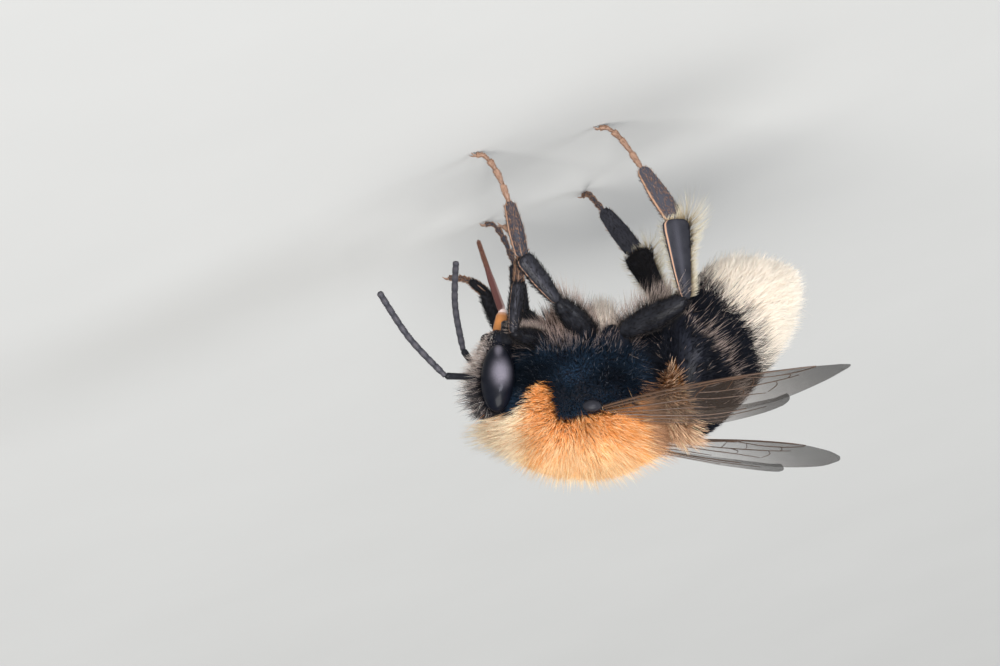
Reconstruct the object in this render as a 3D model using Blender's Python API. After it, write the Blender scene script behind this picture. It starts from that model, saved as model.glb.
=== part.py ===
"""A tree bumblebee worker, life size, standing on four of its feet and reaching down with the front two.

The head points along +X, the bee's left is +Y, and the floor is Z = 0. The solids hold the outline of the
coat, and thin cuts divide the body at its own joints and at the edges of its segments.
"""

import math

import bmesh
import bpy
from mathutils import Matrix, Vector

MM = 0.001

# Driving dimensions, in millimetres and degrees.
GAP = 0.1                    # thin cut between neighbouring pieces
LEAST = 0.5                  # thickness of wings, feelers and toes
PITCH = 19.5                 # how far the thorax and head lean nose down
THORAX_AT = (1.93, 0.0, 10.42)
HEAD_AT = (5.18, 0.0, 8.5)
EYE_AT = (0.0, 1.45, 0.43)   # from the middle of the head, for the left eye
EYE_HALF = (0.78, 0.6, 1.58)
EYE_TOE_IN = 12.0            # how far each eye turns to look ahead
TEGULA_AT = (2.0, 2.95, 11.4)
TEGULA_HALF = (0.7, 0.35, 0.45)
FOREWING_LENGTH = 10.9
HINDWING_LENGTH = 7.6
WING_ROOT_TILT = 32.0        # how steeply the folded wings slope to the sides at their roots, like a roof
BODY_SIDES = 24
LIMB_SIDES = 8

# Outline of the coated thorax from rear to front, in its own frame: x, top, bottom, half width.
THORAX_RINGS = (
    (-3.75, 2.0, 0.2, 0.8),
    (-3.4, 2.75, -1.2, 1.7),
    (-2.7, 3.4, -2.7, 2.6),
    (-1.4, 3.93, -4.1, 3.2),
    (0.1, 4.0, -4.6, 3.35),
    (1.4, 3.87, -4.4, 3.25),
    (2.5, 3.4, -3.4, 2.9),
    (3.4, 2.75, -2.2, 2.4),
    (4.1, 2.1, -0.8, 1.7),
    (4.5, 1.5, 0.3, 0.8),
)

# Outline of the head from mouth to crown, in its own frame: z, x of the middle, half thickness, half width.
HEAD_RINGS = (
    (-2.05, 0.1, 0.4, 0.65),
    (-1.65, 0.14, 0.75, 1.05),
    (-0.8, 0.2, 1.08, 1.45),
    (0.1, 0.2, 1.2, 1.68),
    (0.9, 0.15, 1.2, 1.68),
    (1.5, 0.1, 1.0, 1.4),
    (1.95, 0.0, 0.5, 0.75),
)

# Outline of the coated abdomen from waist to tip: x, z, half height, half width, slope down to the rear.
ABDOMEN_RINGS = (
    (-0.98, 11.18, 1.30, 1.40, -19.5),
    (-1.59, 11.10, 2.60, 2.70, -14.0),
    (-2.59, 10.77, 3.30, 3.30, -7.5),
    (-4.25, 10.19, 3.00, 3.25, 2.5),
    (-5.76, 9.28, 2.75, 2.95, 10.5),
    (-7.12, 8.65, 2.25, 2.35, 18.5),
    (-8.28, 8.23, 1.30, 1.35, 25.5),
    (-8.84, 8.04, 0.35, 0.40, 28.0),
)
# Where each segment of the abdomen begins, counted in rings from the waist, and where the last one ends.
SEGMENT_EDGES = (0.0, 1.45, 2.6, 3.35, 4.1, 5.1, 7.0)

# Each leg's joints: root of the thigh, knee, ankle, end of the long first toe, and the way down the other toes.
LEGS = {
    "right_front": ((2.5, -1.3, 8.1), (4.15, -2.7, 7.5), (3.2, -2.85, 5.45), (2.72, -2.8, 4.3),
                    (2.7, -2.8, 3.5), (2.95, -2.8, 2.8)),
    "right_mid": ((0.85, -1.8, 8.55), (1.95, -3.85, 7.1), (2.84, -4.7, 4.92), (2.6, -5.0, 2.47),
                  (2.68, -5.2, 1.1), (2.95, -5.4, 0.3), (3.3, -5.5, 0.14)),
    "right_hind": ((-0.4, -2.2, 8.85), (-3.4, -3.6, 8.75), (-4.12, -3.75, 5.2), (-3.5, -3.7, 2.5),
                   (-3.15, -3.65, 1.1), (-2.75, -3.6, 0.3), (-2.4, -3.55, 0.14)),
    "left_front": ((2.5, 1.3, 8.0), (4.2, 2.4, 5.9), (4.2, 2.7, 3.9), (4.65, 2.85, 3.15),
                   (5.05, 2.9, 2.85), (5.5, 3.0, 2.65)),
    "left_mid": ((0.85, 1.8, 8.55), (2.1, 3.9, 7.0), (2.75, 4.85, 4.8), (2.35, 5.1, 2.4),
                 (2.4, 5.25, 1.1), (2.6, 5.35, 0.3), (2.95, 5.4, 0.14)),
    "left_hind": ((-0.4, 2.2, 8.6), (-3.25, 3.75, 7.2), (-2.87, 4.05, 3.94), (-2.15, 4.35, 1.5),
                  (-1.95, 4.85, 0.7), (-1.85, 5.4, 0.2), (-1.7, 5.95, 0.14)),
}
# Half breadths along thigh, shin and first toe, from the body outwards, and how deep each is for its breadth.
THIGH = {"front": (0.3, 0.42, 0.4, 0.28), "mid": (0.32, 0.46, 0.42, 0.28), "hind": (0.34, 0.5, 0.46, 0.3)}
SHIN = {"front": (0.26, 0.33, 0.36, 0.3), "mid": (0.27, 0.38, 0.45, 0.4), "hind": (0.27, 0.44, 0.62, 0.66)}
FIRST_TOE = {"front": (0.25, 0.27, 0.25), "mid": (0.36, 0.4, 0.27), "hind": (0.48, 0.46, 0.3)}
TOES = (0.25, 0.25, 0.25, 0.2)
THIGH_DEPTH = 0.8
SHIN_DEPTH = 0.5
TOE_DEPTH = 0.55

# Feelers: socket, elbow, and the middle and tip of the whip.
FEELERS = {
    "right": ((5.75, -0.45, 8.42), (7.44, -1.2, 8.0), (8.42, -1.65, 5.95), (9.03, -2.0, 3.65)),
    "left": ((5.75, 0.45, 8.38), (6.15, 1.0, 6.55), (5.8, 1.25, 4.4), (5.1, 1.45, 2.45)),
}
FEELER_THICKNESS = (0.25, 0.25, 0.25, 0.22)

# The tongue hangs down from the mouth and folds once. The jaws stand open beside it.
TONGUE = ((4.61, 0.0, 7.0), (4.03, 0.0, 5.74), (4.03, 0.0, 3.5), (3.99, 0.0, 2.31))
RIGHT_JAW = ((4.75, -1.0, 7.25), (4.55, -1.0, 6.55), (4.4, -0.8, 5.9))

# Wings: root and tip of the front edge, and how steeply the wing slopes at its tip.
WINGS = {
    "right": ((1.55, -2.95, 11.9), (-8.2, -6.5, 14.2), -5.0),
    "left": ((1.55, 2.95, 11.9), (-8.1, 6.5, 14.4), 40.0),
}
# A forewing's front and rear edges in from its front line, and a hind wing's width, all in shares of its length.
FOREWING_EDGES = ((0.0, 0.0, 0.05), (0.15, -0.02, 0.1), (0.4, -0.035, 0.215), (0.65, -0.035, 0.275),
                  (0.85, 0.0, 0.25), (0.96, 0.06, 0.19), (1.0, 0.11, 0.15))
HINDWING_WIDTHS = ((0.03, 0.06), (0.2, 0.09), (0.5, 0.11), (0.8, 0.11), (0.95, 0.09), (1.0, 0.06))


def mm(point):
    return Vector(point) * MM


def mirrored(point):
    return (point[0], -point[1], point[2])


def material(name, colour, roughness):
    made = bpy.data.materials.new(name)
    made.use_nodes = True
    shader = made.node_tree.nodes["Principled BSDF"]
    shader.inputs["Base Color"].default_value = (*colour, 1.0)
    shader.inputs["Roughness"].default_value = roughness
    shader.inputs["Metallic"].default_value = 0.0
    return made


def add_object(name, bm, finish):
    """Makes a named, smoothly shaded object of a finished bmesh."""
    bmesh.ops.recalc_face_normals(bm, faces=bm.faces)
    mesh = bpy.data.meshes.new(name)
    bm.to_mesh(mesh)
    bm.free()
    mesh.materials.append(finish)
    mesh.shade_smooth()
    mesh.set_sharp_from_angle(angle=math.radians(45))
    made = bpy.data.objects.new(name, mesh)
    bpy.context.scene.collection.objects.link(made)
    return made


def between(rows, place):
    """A smooth row of values at a place counted in rows, by Catmull-Rom through its neighbours."""
    last = len(rows) - 1
    index = min(int(place), last - 1)
    t = place - index
    a, b, c, d = (Vector(rows[min(max(index + k, 0), last)]) for k in (-1, 0, 1, 2))
    bend = a - b * 2.5 + c * 2 - d / 2
    turn = (b - c) * 1.5 + (d - a) / 2
    return b + (c - a) * (t / 2) + bend * t**2 + turn * t**3


def section(centre, across, over):
    """The matrix that carries a unit circle to an ellipse with these two half axes, in millimetres."""
    across = mm(across)
    over = mm(over)
    along = across.cross(over).normalized() * MM
    matrix = Matrix((across, over, along)).transposed().to_4x4()
    matrix.translation = mm(centre)
    return matrix


def loft(sections, sides):
    """A closed body through the sections, grown from each to the next by extruding its end face."""
    bm = bmesh.new()
    bmesh.ops.create_circle(bm, cap_ends=True, segments=sides, radius=1.0, matrix=sections[0])
    start = end = bm.faces[:][0]
    for before, after in zip(sections, sections[1:]):
        grown = bmesh.ops.extrude_face_region(bm, geom=[end])["geom"]
        if end is not start:
            bmesh.ops.delete(bm, geom=[end], context="FACES_ONLY")
        end = next(item for item in grown if isinstance(item, bmesh.types.BMFace))
        bmesh.ops.transform(bm, matrix=after @ before.inverted(), verts=end.verts[:])
    return bm


def cut(bm, point, normal):
    """Takes away what lies on the normal's side of a plane, and closes the hole."""
    everything = bm.verts[:] + bm.edges[:] + bm.faces[:]
    bmesh.ops.bisect_plane(bm, geom=everything, plane_co=point, plane_no=normal, clear_outer=True)
    rim = [edge for edge in bm.edges if edge.is_boundary]
    bmesh.ops.holes_fill(bm, edges=rim, sides=len(rim))


def grown_copy(solid):
    """A hidden copy of a solid that is a gap fatter all round, for clearing room in its neighbours."""
    name = f"room_for_{solid.name}"
    if name in bpy.data.objects:
        return bpy.data.objects[name]
    bm = bmesh.new()
    bm.from_mesh(solid.data)
    bm.normal_update()
    for vert in bm.verts:
        vert.co += vert.normal * GAP * MM
    made = add_object(name, bm, solid.data.materials[0])
    made.matrix_world = solid.matrix_world.copy()
    made.hide_render = True
    made.display_type = "WIRE"
    return made


def keep_clear(solid, others):
    """Hollows a solid where others pass through it, so that each has its gap."""
    bpy.context.view_layer.update()
    for other in others:
        room = solid.modifiers.new(f"room_for_{other.name}", "BOOLEAN")
        room.operation = "DIFFERENCE"
        room.object = grown_copy(other)


def make_thorax(finish):
    sections = []
    steps = 2 * (len(THORAX_RINGS) - 1)
    for step in range(steps + 1):
        x, top, bottom, half_width = between(THORAX_RINGS, step / 2)
        centre = (x, 0, (top + bottom) / 2)
        sections.append(section(centre, (0, half_width, 0), (0, 0, (top - bottom) / 2)))
    thorax = add_object("thorax", loft(sections, BODY_SIDES), finish)
    thorax.location = mm(THORAX_AT)
    thorax.rotation_euler = (0, math.radians(PITCH), 0)
    return thorax


def make_head(finish):
    sections = []
    steps = 2 * (len(HEAD_RINGS) - 1)
    for step in range(steps + 1):
        z, x, half_thickness, half_width = between(HEAD_RINGS, step / 2)
        sections.append(section((x, 0, z), (half_thickness, 0, 0), (0, half_width, 0)))
    head = add_object("head", loft(sections, BODY_SIDES), finish)
    head.location = mm(HEAD_AT)
    head.rotation_euler = (0, math.radians(PITCH), 0)
    return head


def make_ellipsoid(name, centre, half, turn, finish):
    bm = bmesh.new()
    size = Matrix.Diagonal((*mm(half), 1.0))
    bmesh.ops.create_uvsphere(bm, u_segments=12, v_segments=8, radius=1.0, matrix=size)
    made = add_object(name, bm, finish)
    made.location = mm(centre)
    made.rotation_euler = [math.radians(angle) for angle in turn]
    return made


def make_eyes(finish):
    """Long oval compound eyes at the sides of the head, each a whole body set in a socket."""
    lean = Matrix.Rotation(math.radians(PITCH), 3, "Y")
    eyes = []
    for side, sign in (("right", -1), ("left", 1)):
        x, y, z = EYE_AT
        centre = Vector(HEAD_AT) + lean @ Vector((x, sign * y, z))
        turn = (0, PITCH, -sign * EYE_TOE_IN)
        eyes.append(make_ellipsoid(f"eye_{side}", centre, EYE_HALF, turn, finish))
    return eyes


def make_abdomen(finishes):
    """The abdomen ring by ring, each of its six segments a body of its own."""
    made = []
    spans = zip(SEGMENT_EDGES, SEGMENT_EDGES[1:])
    for number, (start, end) in enumerate(spans, 1):
        steps = round((end - start) * 3)
        sections = []
        for step in range(steps + 1):
            x, z, half_height, half_width, slope = between(ABDOMEN_RINGS, start + (end - start) * step / steps)
            slope = math.radians(slope)
            rear = Vector((-math.cos(slope), 0, -math.sin(slope)))
            up = Vector((-math.sin(slope), 0, math.cos(slope)))
            inset = {0: GAP / 2, steps: -GAP / 2}.get(step, 0.0)
            centre = Vector((x, 0, z)) + rear * inset
            sections.append(section(centre, (0, half_width, 0), up * half_height))
        made.append(add_object(f"abdomen_segment_{number}", loft(sections, BODY_SIDES), finishes[number - 1]))
    return made


def joint_plane(before, at, after):
    """The direction across a joint, halfway between those of the two pieces that meet there."""
    return ((at - before).normalized() + (after - at).normalized()).normalized()


def limb(name, path, halves, depth, finish, flat_side, start_plane=None, end_plane=None, on_floor=False):
    """A tapered limb along a path, with its broad face to the flat side.

    halves are its half breadths from end to end, and depth is its depth for its breadth. At a joint plane
    the limb runs on and is cut off half a gap before the plane. A foot on the floor is cut flat there.
    """
    run_on = 0.35
    path = [Vector(point) for point in path]
    start, end = path[0].copy(), path[-1].copy()
    if start_plane is not None:
        path[0] -= (path[1] - path[0]).normalized() * run_on
    if end_plane is not None:
        path[-1] += (path[-1] - path[-2]).normalized() * run_on
    steps = max(5, 3 * (len(path) - 1))
    sections = []
    for step in range(steps + 1):
        place = (len(path) - 1) * step / steps
        along = between(path, min(place + 0.1, len(path) - 1)) - between(path, max(place - 0.1, 0))
        broad = along.cross(Vector(flat_side)).normalized()
        deep = broad.cross(along).normalized()
        half = between([(value, 0) for value in halves], (len(halves) - 1) * step / steps).x
        half_depth = max(half * depth, LEAST / 2)
        sections.append(section(between(path, place), broad * max(half, LEAST / 2), deep * half_depth))
    bm = loft(sections, LIMB_SIDES)
    if start_plane is not None:
        cut(bm, mm(start + start_plane * GAP / 2), -start_plane)
    if end_plane is not None:
        cut(bm, mm(end - end_plane * GAP / 2), end_plane)
    if on_floor:
        cut(bm, (0, 0, 0), (0, 0, -1))
    return add_object(name, bm, finish)


def make_leg(name, joints, shell, toe_shell):
    """Thigh, shin, long first toe and the other toes, cut where they meet. Returns thigh and shin."""
    side, pair = name.split("_")
    outward = (0, -1 if side == "right" else 1, 0)
    root, knee, ankle, heel, *toes = (Vector(joint) for joint in joints)
    at_knee = joint_plane(root, knee, ankle)
    at_ankle = joint_plane(knee, ankle, heel)
    at_heel = joint_plane(ankle, heel, toes[0])
    thigh = limb(f"{name}_thigh", (root, knee), THIGH[pair], THIGH_DEPTH, shell, outward, None, at_knee)
    shin = limb(f"{name}_shin", (knee, ankle), SHIN[pair], SHIN_DEPTH, shell, outward, at_knee, at_ankle)
    limb(f"{name}_first_toe", (ankle, heel), FIRST_TOE[pair], TOE_DEPTH, toe_shell, outward, at_ankle, at_heel)
    standing = toes[-1].z < LEAST / 2
    limb(f"{name}_toes", (heel, *toes), TOES, 1.0, toe_shell, outward, at_heel, None, standing)
    return [thigh, shin]


def make_feelers(finish, head):
    """On each side the long first joint, from the face to the elbow, and the whip beyond it."""
    for side, joints in FEELERS.items():
        socket, elbow, *whip = (Vector(joint) for joint in joints)
        plane = joint_plane(socket, elbow, whip[0])
        half = FEELER_THICKNESS
        first = limb(f"feeler_{side}_first_joint", (socket, elbow), half, 1.0, finish, (0, 1, 0), None, plane)
        limb(f"feeler_{side}_whip", (elbow, *whip), half, 1.0, finish, (0, 1, 0), plane)
        keep_clear(first, [head])


def make_mouth(base_shell, sheath_shell, head):
    """The tongue in three lengths, and the two jaws."""
    side_face = (0, 1, 0)
    mouth, joint, sheath_end, tip = (Vector(point) for point in TONGUE)
    at_joint = joint_plane(mouth, joint, sheath_end)
    at_end = joint_plane(joint, sheath_end, tip)
    base = limb("tongue_base", (mouth, joint), (0.4, 0.42, 0.32), 0.9, base_shell, side_face, None, at_joint)
    limb("tongue_sheath", (joint, sheath_end), (0.32, 0.28, 0.25), 1.0, sheath_shell, side_face, at_joint, at_end)
    limb("tongue_tip", (sheath_end, tip), (0.25, 0.25, 0.2), 1.0, sheath_shell, side_face, at_end)
    jaws = []
    for side, path in (("right", RIGHT_JAW), ("left", [mirrored(point) for point in RIGHT_JAW])):
        jaws.append(limb(f"jaw_{side}", path, (0.4, 0.34, 0.25), 0.75, sheath_shell, side_face))
    for piece in (base, *jaws):
        keep_clear(piece, [head])


def wing_section(wing, along, front, rear):
    """A thin box section across a wing, from front to rear edge, at a distance along its front line."""
    root, tip, tip_tilt = Vector(wing[0]), Vector(wing[1]), wing[2]
    span = (tip - root).normalized()
    tilt = math.radians(WING_ROOT_TILT + (tip_tilt - WING_ROOT_TILT) * along / FOREWING_LENGTH)
    outer_side = math.copysign(1, root.y)
    inward = Vector((0, -outer_side * math.cos(tilt), math.sin(tilt)))
    chord = (inward - span * inward.dot(span)).normalized()
    half_chord = chord * (rear - front) / 2
    half_depth = span.cross(chord) * LEAST / 2
    centre = root + span * along + chord * (front + rear) / 2
    return section(centre, half_depth + half_chord, half_depth - half_chord)


def make_wings(finish):
    """Folded wings, each hind wing hooked to the rear edge of its forewing."""
    made = []
    steps = 12
    for side, wing in WINGS.items():
        fore_sections = []
        hind_sections = []
        for step in range(steps + 1):
            row = between(FOREWING_EDGES, (len(FOREWING_EDGES) - 1) * step / steps)
            fore_sections.append(wing_section(wing, *(row * FOREWING_LENGTH)))
            along, width = between(HINDWING_WIDTHS, (len(HINDWING_WIDTHS) - 1) * step / steps)
            along *= HINDWING_LENGTH
            front = rear_edge(along) + GAP
            hind_sections.append(wing_section(wing, along, front, front + width * HINDWING_LENGTH))
        made.append(add_object(f"forewing_{side}", loft(fore_sections, 4), finish))
        made.append(add_object(f"hindwing_{side}", loft(hind_sections, 4), finish))
    return made


def rear_edge(along):
    """Where a forewing's rear edge is, that far along its front line."""
    share = along / FOREWING_LENGTH
    index = next(i for i, row in enumerate(FOREWING_EDGES) if row[0] >= share) or 1
    before, after = FOREWING_EDGES[index - 1], FOREWING_EDGES[index]
    part = (share - before[0]) / (after[0] - before[0])
    return FOREWING_LENGTH * (before[2] + (after[2] - before[2]) * part)


def main():
    for old in list(bpy.data.objects):
        bpy.data.objects.remove(old)

    black_coat = material("black_coat", (0.02, 0.022, 0.03), 0.7)
    ginger_coat = material("ginger_coat", (0.83, 0.38, 0.1), 0.8)
    cream_coat = material("cream_coat", (0.93, 0.84, 0.7), 0.8)
    black_shell = material("black_shell", (0.015, 0.016, 0.022), 0.3)
    rust_shell = material("rust_shell", (0.25, 0.12, 0.08), 0.4)
    amber_shell = material("amber_shell", (0.6, 0.26, 0.07), 0.35)
    eye_lens = material("eye_lens", (0.012, 0.01, 0.016), 0.12)
    wing_membrane = material("wing_membrane", (0.2, 0.15, 0.1), 0.25)

    thorax = make_thorax(ginger_coat)
    head = make_head(black_coat)
    eyes = make_eyes(eye_lens)
    abdomen = make_abdomen((ginger_coat, *[black_coat] * 3, *[cream_coat] * 2))
    wings = make_wings(wing_membrane)
    tegulae = []
    for side, centre in (("right", mirrored(TEGULA_AT)), ("left", TEGULA_AT)):
        tegulae.append(make_ellipsoid(f"tegula_{side}", centre, TEGULA_HALF, (0, PITCH, 0), black_shell))
    legs = {name: make_leg(name, joints, black_shell, rust_shell) for name, joints in LEGS.items()}
    make_feelers(black_shell, head)
    make_mouth(amber_shell, rust_shell, head)

    thighs = [leg[0] for leg in legs.values()]
    hind_thighs = [legs["right_hind"][0], legs["left_hind"][0]]
    keep_clear(head, eyes)
    keep_clear(thorax, [head, *eyes, *tegulae, *wings, *thighs])
    for wing in wings:
        keep_clear(wing, tegulae)
    keep_clear(abdomen[0], [thorax, *hind_thighs])
    keep_clear(abdomen[1], [thorax, *hind_thighs, *wings])
    keep_clear(abdomen[2], hind_thighs)


main()
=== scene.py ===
"""The looks of a tree bumblebee: skin, eyes, legs, feelers, mouth, wings and its coat of hair."""

import math

import bmesh
import bpy
import numpy as np
from mathutils import Matrix, Vector


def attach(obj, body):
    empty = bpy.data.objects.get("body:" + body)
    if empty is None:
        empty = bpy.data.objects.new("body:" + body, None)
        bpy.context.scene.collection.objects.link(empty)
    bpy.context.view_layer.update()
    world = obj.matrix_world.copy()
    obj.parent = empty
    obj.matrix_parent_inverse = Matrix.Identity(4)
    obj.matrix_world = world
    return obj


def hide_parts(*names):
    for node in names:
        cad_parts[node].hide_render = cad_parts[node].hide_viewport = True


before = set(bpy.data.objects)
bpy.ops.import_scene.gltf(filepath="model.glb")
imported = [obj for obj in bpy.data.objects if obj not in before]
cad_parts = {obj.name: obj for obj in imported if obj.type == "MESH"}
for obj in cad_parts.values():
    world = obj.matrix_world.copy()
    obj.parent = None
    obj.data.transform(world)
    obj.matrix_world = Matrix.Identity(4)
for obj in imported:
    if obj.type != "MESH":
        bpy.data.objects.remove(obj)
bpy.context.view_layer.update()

# Places and sizes are in millimetres and angles in degrees, unless a comment says otherwise.
MM = 0.001
PITCH = 19.5                 # how far the thorax and head lean nose down, in degrees
THORAX_AT = (1.93, 0.0, 10.42)
HEAD_AT = (5.18, 0.0, 8.5)
EYE_AT = (0.0, 1.42, 0.43)   # from the middle of the head, for the left eye
EYE_HALF = (0.74, 0.55, 1.52)
EYE_TOE_IN = 12.0
# Painted lilac highlights on the left eye: middle, half size in the frame of the head, strength.
PAINTED_EYE_HIGHLIGHTS = (((5.15, 1.97, 8.8), (0.38, 0.9, 0.56), 1.0), ((4.9, 1.75, 7.75), (0.16, 0.9, 0.3), 0.7))
SIMPLE_EYES = ((0.42, 0.0, 1.55), (0.2, -0.35, 1.72), (0.2, 0.35, 1.72))    # from the middle of the head
SIMPLE_EYE_RADIUS = 0.13
# Forms raised on the face, from the middle of the head in its own frame: middle, half size.
FACE_FORMS = (
    ((0.62, 0.0, -0.95), (0.36, 0.72, 0.62)),    # the shield above the mouth
    ((0.5, 0.0, -1.72), (0.3, 0.52, 0.25)),      # the lip
    ((0.62, -0.42, 0.0), (0.32, 0.2, 0.2)),      # sockets of the feelers
    ((0.62, 0.42, 0.0), (0.32, 0.2, 0.2)),
    ((-0.1, -0.78, -1.4), (0.5, 0.38, 0.45)),    # hinges of the jaws
    ((-0.1, 0.78, -1.4), (0.5, 0.38, 0.45)),
)
HIP_HALF = (0.7, 0.7, 0.85)  # of the swelling that each leg grows from
WAIST_AT = (-0.2, 0, 11.2)   # where the waist's hair leans against the thorax
WAIST_RADIUS = 2.6
TEGULA_AT = (1.95, 2.75, 11.75)
TEGULA_HALF = (0.42, 0.2, 0.26)
FOREWING_LENGTH = 10.9
HINDWING_LENGTH = 7.6
WING_OVERLAP = 0.35          # of the hind wing under the forewing
WING_ROOT_TILT = 32.0
MEMBRANE = 0.03              # thickness of a wing between its veins

# Skin of the thorax from rear to front, in its own frame: x, top, bottom, half width.
THORAX_SKIN = (
    (-3.15, 0.3, -0.3, 0.3),
    (-3.0, 1.1, -1.5, 1.1),
    (-2.7, 1.7, -2.1, 1.65),
    (-2.1, 2.25, -2.5, 2.1),
    (-1.2, 2.75, -2.7, 2.45),
    (0.1, 2.85, -2.9, 2.55),
    (1.2, 2.7, -2.8, 2.45),
    (2.0, 2.45, -2.4, 2.15),
    (2.65, 2.1, -1.6, 1.65),
    (3.05, 1.75, -0.7, 1.2),
    (3.3, 1.2, 0.3, 0.45),
)
# Skin of the head from mouth to crown, in its own frame: z, x of the middle, half thickness, half width.
HEAD_SKIN = (
    (-2.0, 0.05, 0.3, 0.6),
    (-1.6, 0.05, 0.62, 1.0),
    (-0.8, 0.0, 0.88, 1.38),
    (0.1, -0.05, 0.97, 1.6),
    (0.9, -0.08, 0.97, 1.6),
    (1.5, -0.08, 0.8, 1.35),
    (1.85, -0.08, 0.45, 0.8),
    (1.97, -0.08, 0.12, 0.2),
)
# What the coat fills, in the same frames: the outlines of the thorax and head with all their hair.
THORAX_COAT = (
    (-4.3, 2.0, -1.0, 1.3),
    (-3.6, 2.9, -2.3, 2.1),
    (-2.7, 3.4, -3.1, 2.7),
    (-1.4, 3.93, -4.1, 3.2),
    (0.1, 4.0, -4.6, 3.35),
    (1.4, 3.87, -4.4, 3.25),
    (2.5, 3.4, -3.4, 2.9),
    (3.4, 2.9, -2.2, 2.5),
    (4.2, 2.6, -0.8, 1.8),
    (4.85, 2.1, 0.6, 1.0),
)
HEAD_COAT = (
    (-2.05, 0.1, 0.4, 0.65),
    (-1.65, 0.14, 0.75, 1.05),
    (-0.8, 0.25, 1.15, 1.5),
    (0.1, 0.3, 1.3, 1.72),
    (0.9, 0.3, 1.4, 1.72),
    (1.5, 0.2, 1.3, 1.6),
    (2.2, 0.1, 0.6, 0.9),
)
# Outline of the coated abdomen from waist to tip, and how deep the coat is there:
# x, z, half height, half width, slope down to the rear, coat.
ABDOMEN = (
    (-0.98, 11.18, 1.30, 1.40, -19.5, 0.80),
    (-1.59, 11.10, 2.60, 2.70, -14.0, 0.75),
    (-2.59, 10.77, 3.30, 3.30, -7.5, 0.32),
    (-4.25, 10.19, 3.00, 3.25, 2.5, 0.42),
    (-5.76, 9.28, 2.75, 2.95, 10.5, 0.85),
    (-7.12, 8.65, 2.25, 2.35, 18.5, 1.00),
    (-8.28, 8.23, 1.30, 1.35, 25.5, 0.95),
    (-8.84, 8.04, 0.35, 0.40, 28.0, 0.30),
)
SEGMENT_EDGES = (0.0, 1.45, 2.6, 3.35, 4.1, 5.1, 6.1)
SKIN_END = 6.1               # where the skin of the abdomen ends, in the rows above
PLATE_RISE = 0.09            # of a segment's rear edge over the next segment
SKIN_SIDES = 64

# Each leg's root, knee, ankle and heel, then points along its small toes to the tip.
LEGS = {
    "right_front": ((2.5, -1.3, 8.1), (4.15, -2.7, 7.5), (3.2, -2.85, 5.45), (2.72, -2.8, 4.3),
                    (2.7, -2.8, 3.5), (2.95, -2.8, 2.8)),
    "right_mid": ((0.85, -1.8, 8.55), (1.95, -3.85, 7.1), (2.84, -4.7, 4.92), (2.6, -5.0, 2.47),
                  (2.68, -5.2, 1.1), (2.95, -5.4, 0.3), (3.3, -5.5, 0.14)),
    "right_hind": ((-0.4, -2.2, 8.85), (-3.4, -3.6, 8.75), (-4.12, -3.75, 5.2), (-3.5, -3.7, 2.5),
                   (-3.15, -3.65, 1.1), (-2.75, -3.6, 0.3), (-2.4, -3.55, 0.14)),
    "left_front": ((2.5, 1.3, 8.0), (4.2, 2.4, 5.9), (4.2, 2.7, 3.9), (4.65, 2.85, 3.15),
                   (5.05, 2.9, 2.85), (5.5, 3.0, 2.65)),
    "left_mid": ((0.85, 1.8, 8.55), (2.1, 3.9, 7.0), (2.75, 4.85, 4.8), (2.35, 5.1, 2.4),
                 (2.4, 5.25, 1.1), (2.6, 5.35, 0.3), (2.95, 5.4, 0.14)),
    "left_hind": ((-0.4, 2.2, 8.6), (-3.25, 3.75, 7.2), (-2.87, 4.05, 3.94), (-2.15, 4.35, 1.5),
                  (-1.95, 4.85, 0.7), (-1.85, 5.4, 0.2), (-1.7, 5.95, 0.14)),
}
PAIRS = ("front", "mid", "hind")
# Joints of legs, feelers and mouth from the body outwards: share of the length, half breadth, half depth.
THIGH = {
    "front": ((0, 0.2, 0.2), (0.15, 0.32, 0.28), (0.5, 0.4, 0.34), (0.85, 0.31, 0.26), (1, 0.17, 0.16)),
    "mid": ((0, 0.2, 0.2), (0.12, 0.42, 0.34), (0.45, 0.54, 0.42), (0.85, 0.36, 0.3), (1, 0.18, 0.16)),
    "hind": ((0, 0.2, 0.2), (0.12, 0.42, 0.32), (0.5, 0.6, 0.42), (0.85, 0.42, 0.3), (1, 0.18, 0.16)),
}
SHIN = {
    "front": ((0, 0.14, 0.13), (0.1, 0.22, 0.18), (0.5, 0.31, 0.22), (0.9, 0.3, 0.2), (1, 0.18, 0.14)),
    "mid": ((0, 0.14, 0.13), (0.1, 0.26, 0.2), (0.5, 0.41, 0.26), (0.88, 0.42, 0.24), (0.96, 0.33, 0.2),
            (1, 0.16, 0.12)),
    "hind": ((0, 0.14, 0.13), (0.08, 0.25, 0.18), (0.4, 0.44, 0.2), (0.8, 0.61, 0.22), (0.92, 0.6, 0.2),
             (0.98, 0.44, 0.16), (1, 0.24, 0.1)),
}
FIRST_TOE = {
    "front": ((0, 0.12, 0.1), (0.15, 0.2, 0.14), (0.7, 0.19, 0.13), (1, 0.12, 0.1)),
    "mid": ((0, 0.12, 0.1), (0.08, 0.3, 0.15), (0.5, 0.36, 0.16), (0.92, 0.25, 0.13), (1, 0.12, 0.09)),
    "hind": ((0, 0.14, 0.1), (0.05, 0.34, 0.14), (0.15, 0.43, 0.16), (0.5, 0.43, 0.17), (0.9, 0.3, 0.14),
             (1, 0.14, 0.1)),
}
TOE = ((0, 0.07, 0.07), (0.3, 0.1, 0.09), (0.85, 0.145, 0.11), (1, 0.1, 0.08))
LAST_TOE = ((0, 0.06, 0.06), (0.5, 0.09, 0.08), (0.9, 0.12, 0.1), (1, 0.08, 0.07))
TOE_ENDS = (0.0, 0.2, 0.38, 0.55, 1.0)           # of the four small toes, in shares of the way from the heel
CLAW = ((0, 0.05, 0.05), (0.6, 0.035, 0.035), (1, 0.006, 0.006))
CLAW_LENGTH = 0.34
SPUR = ((0, 0.035, 0.035), (1, 0.008, 0.008))

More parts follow.
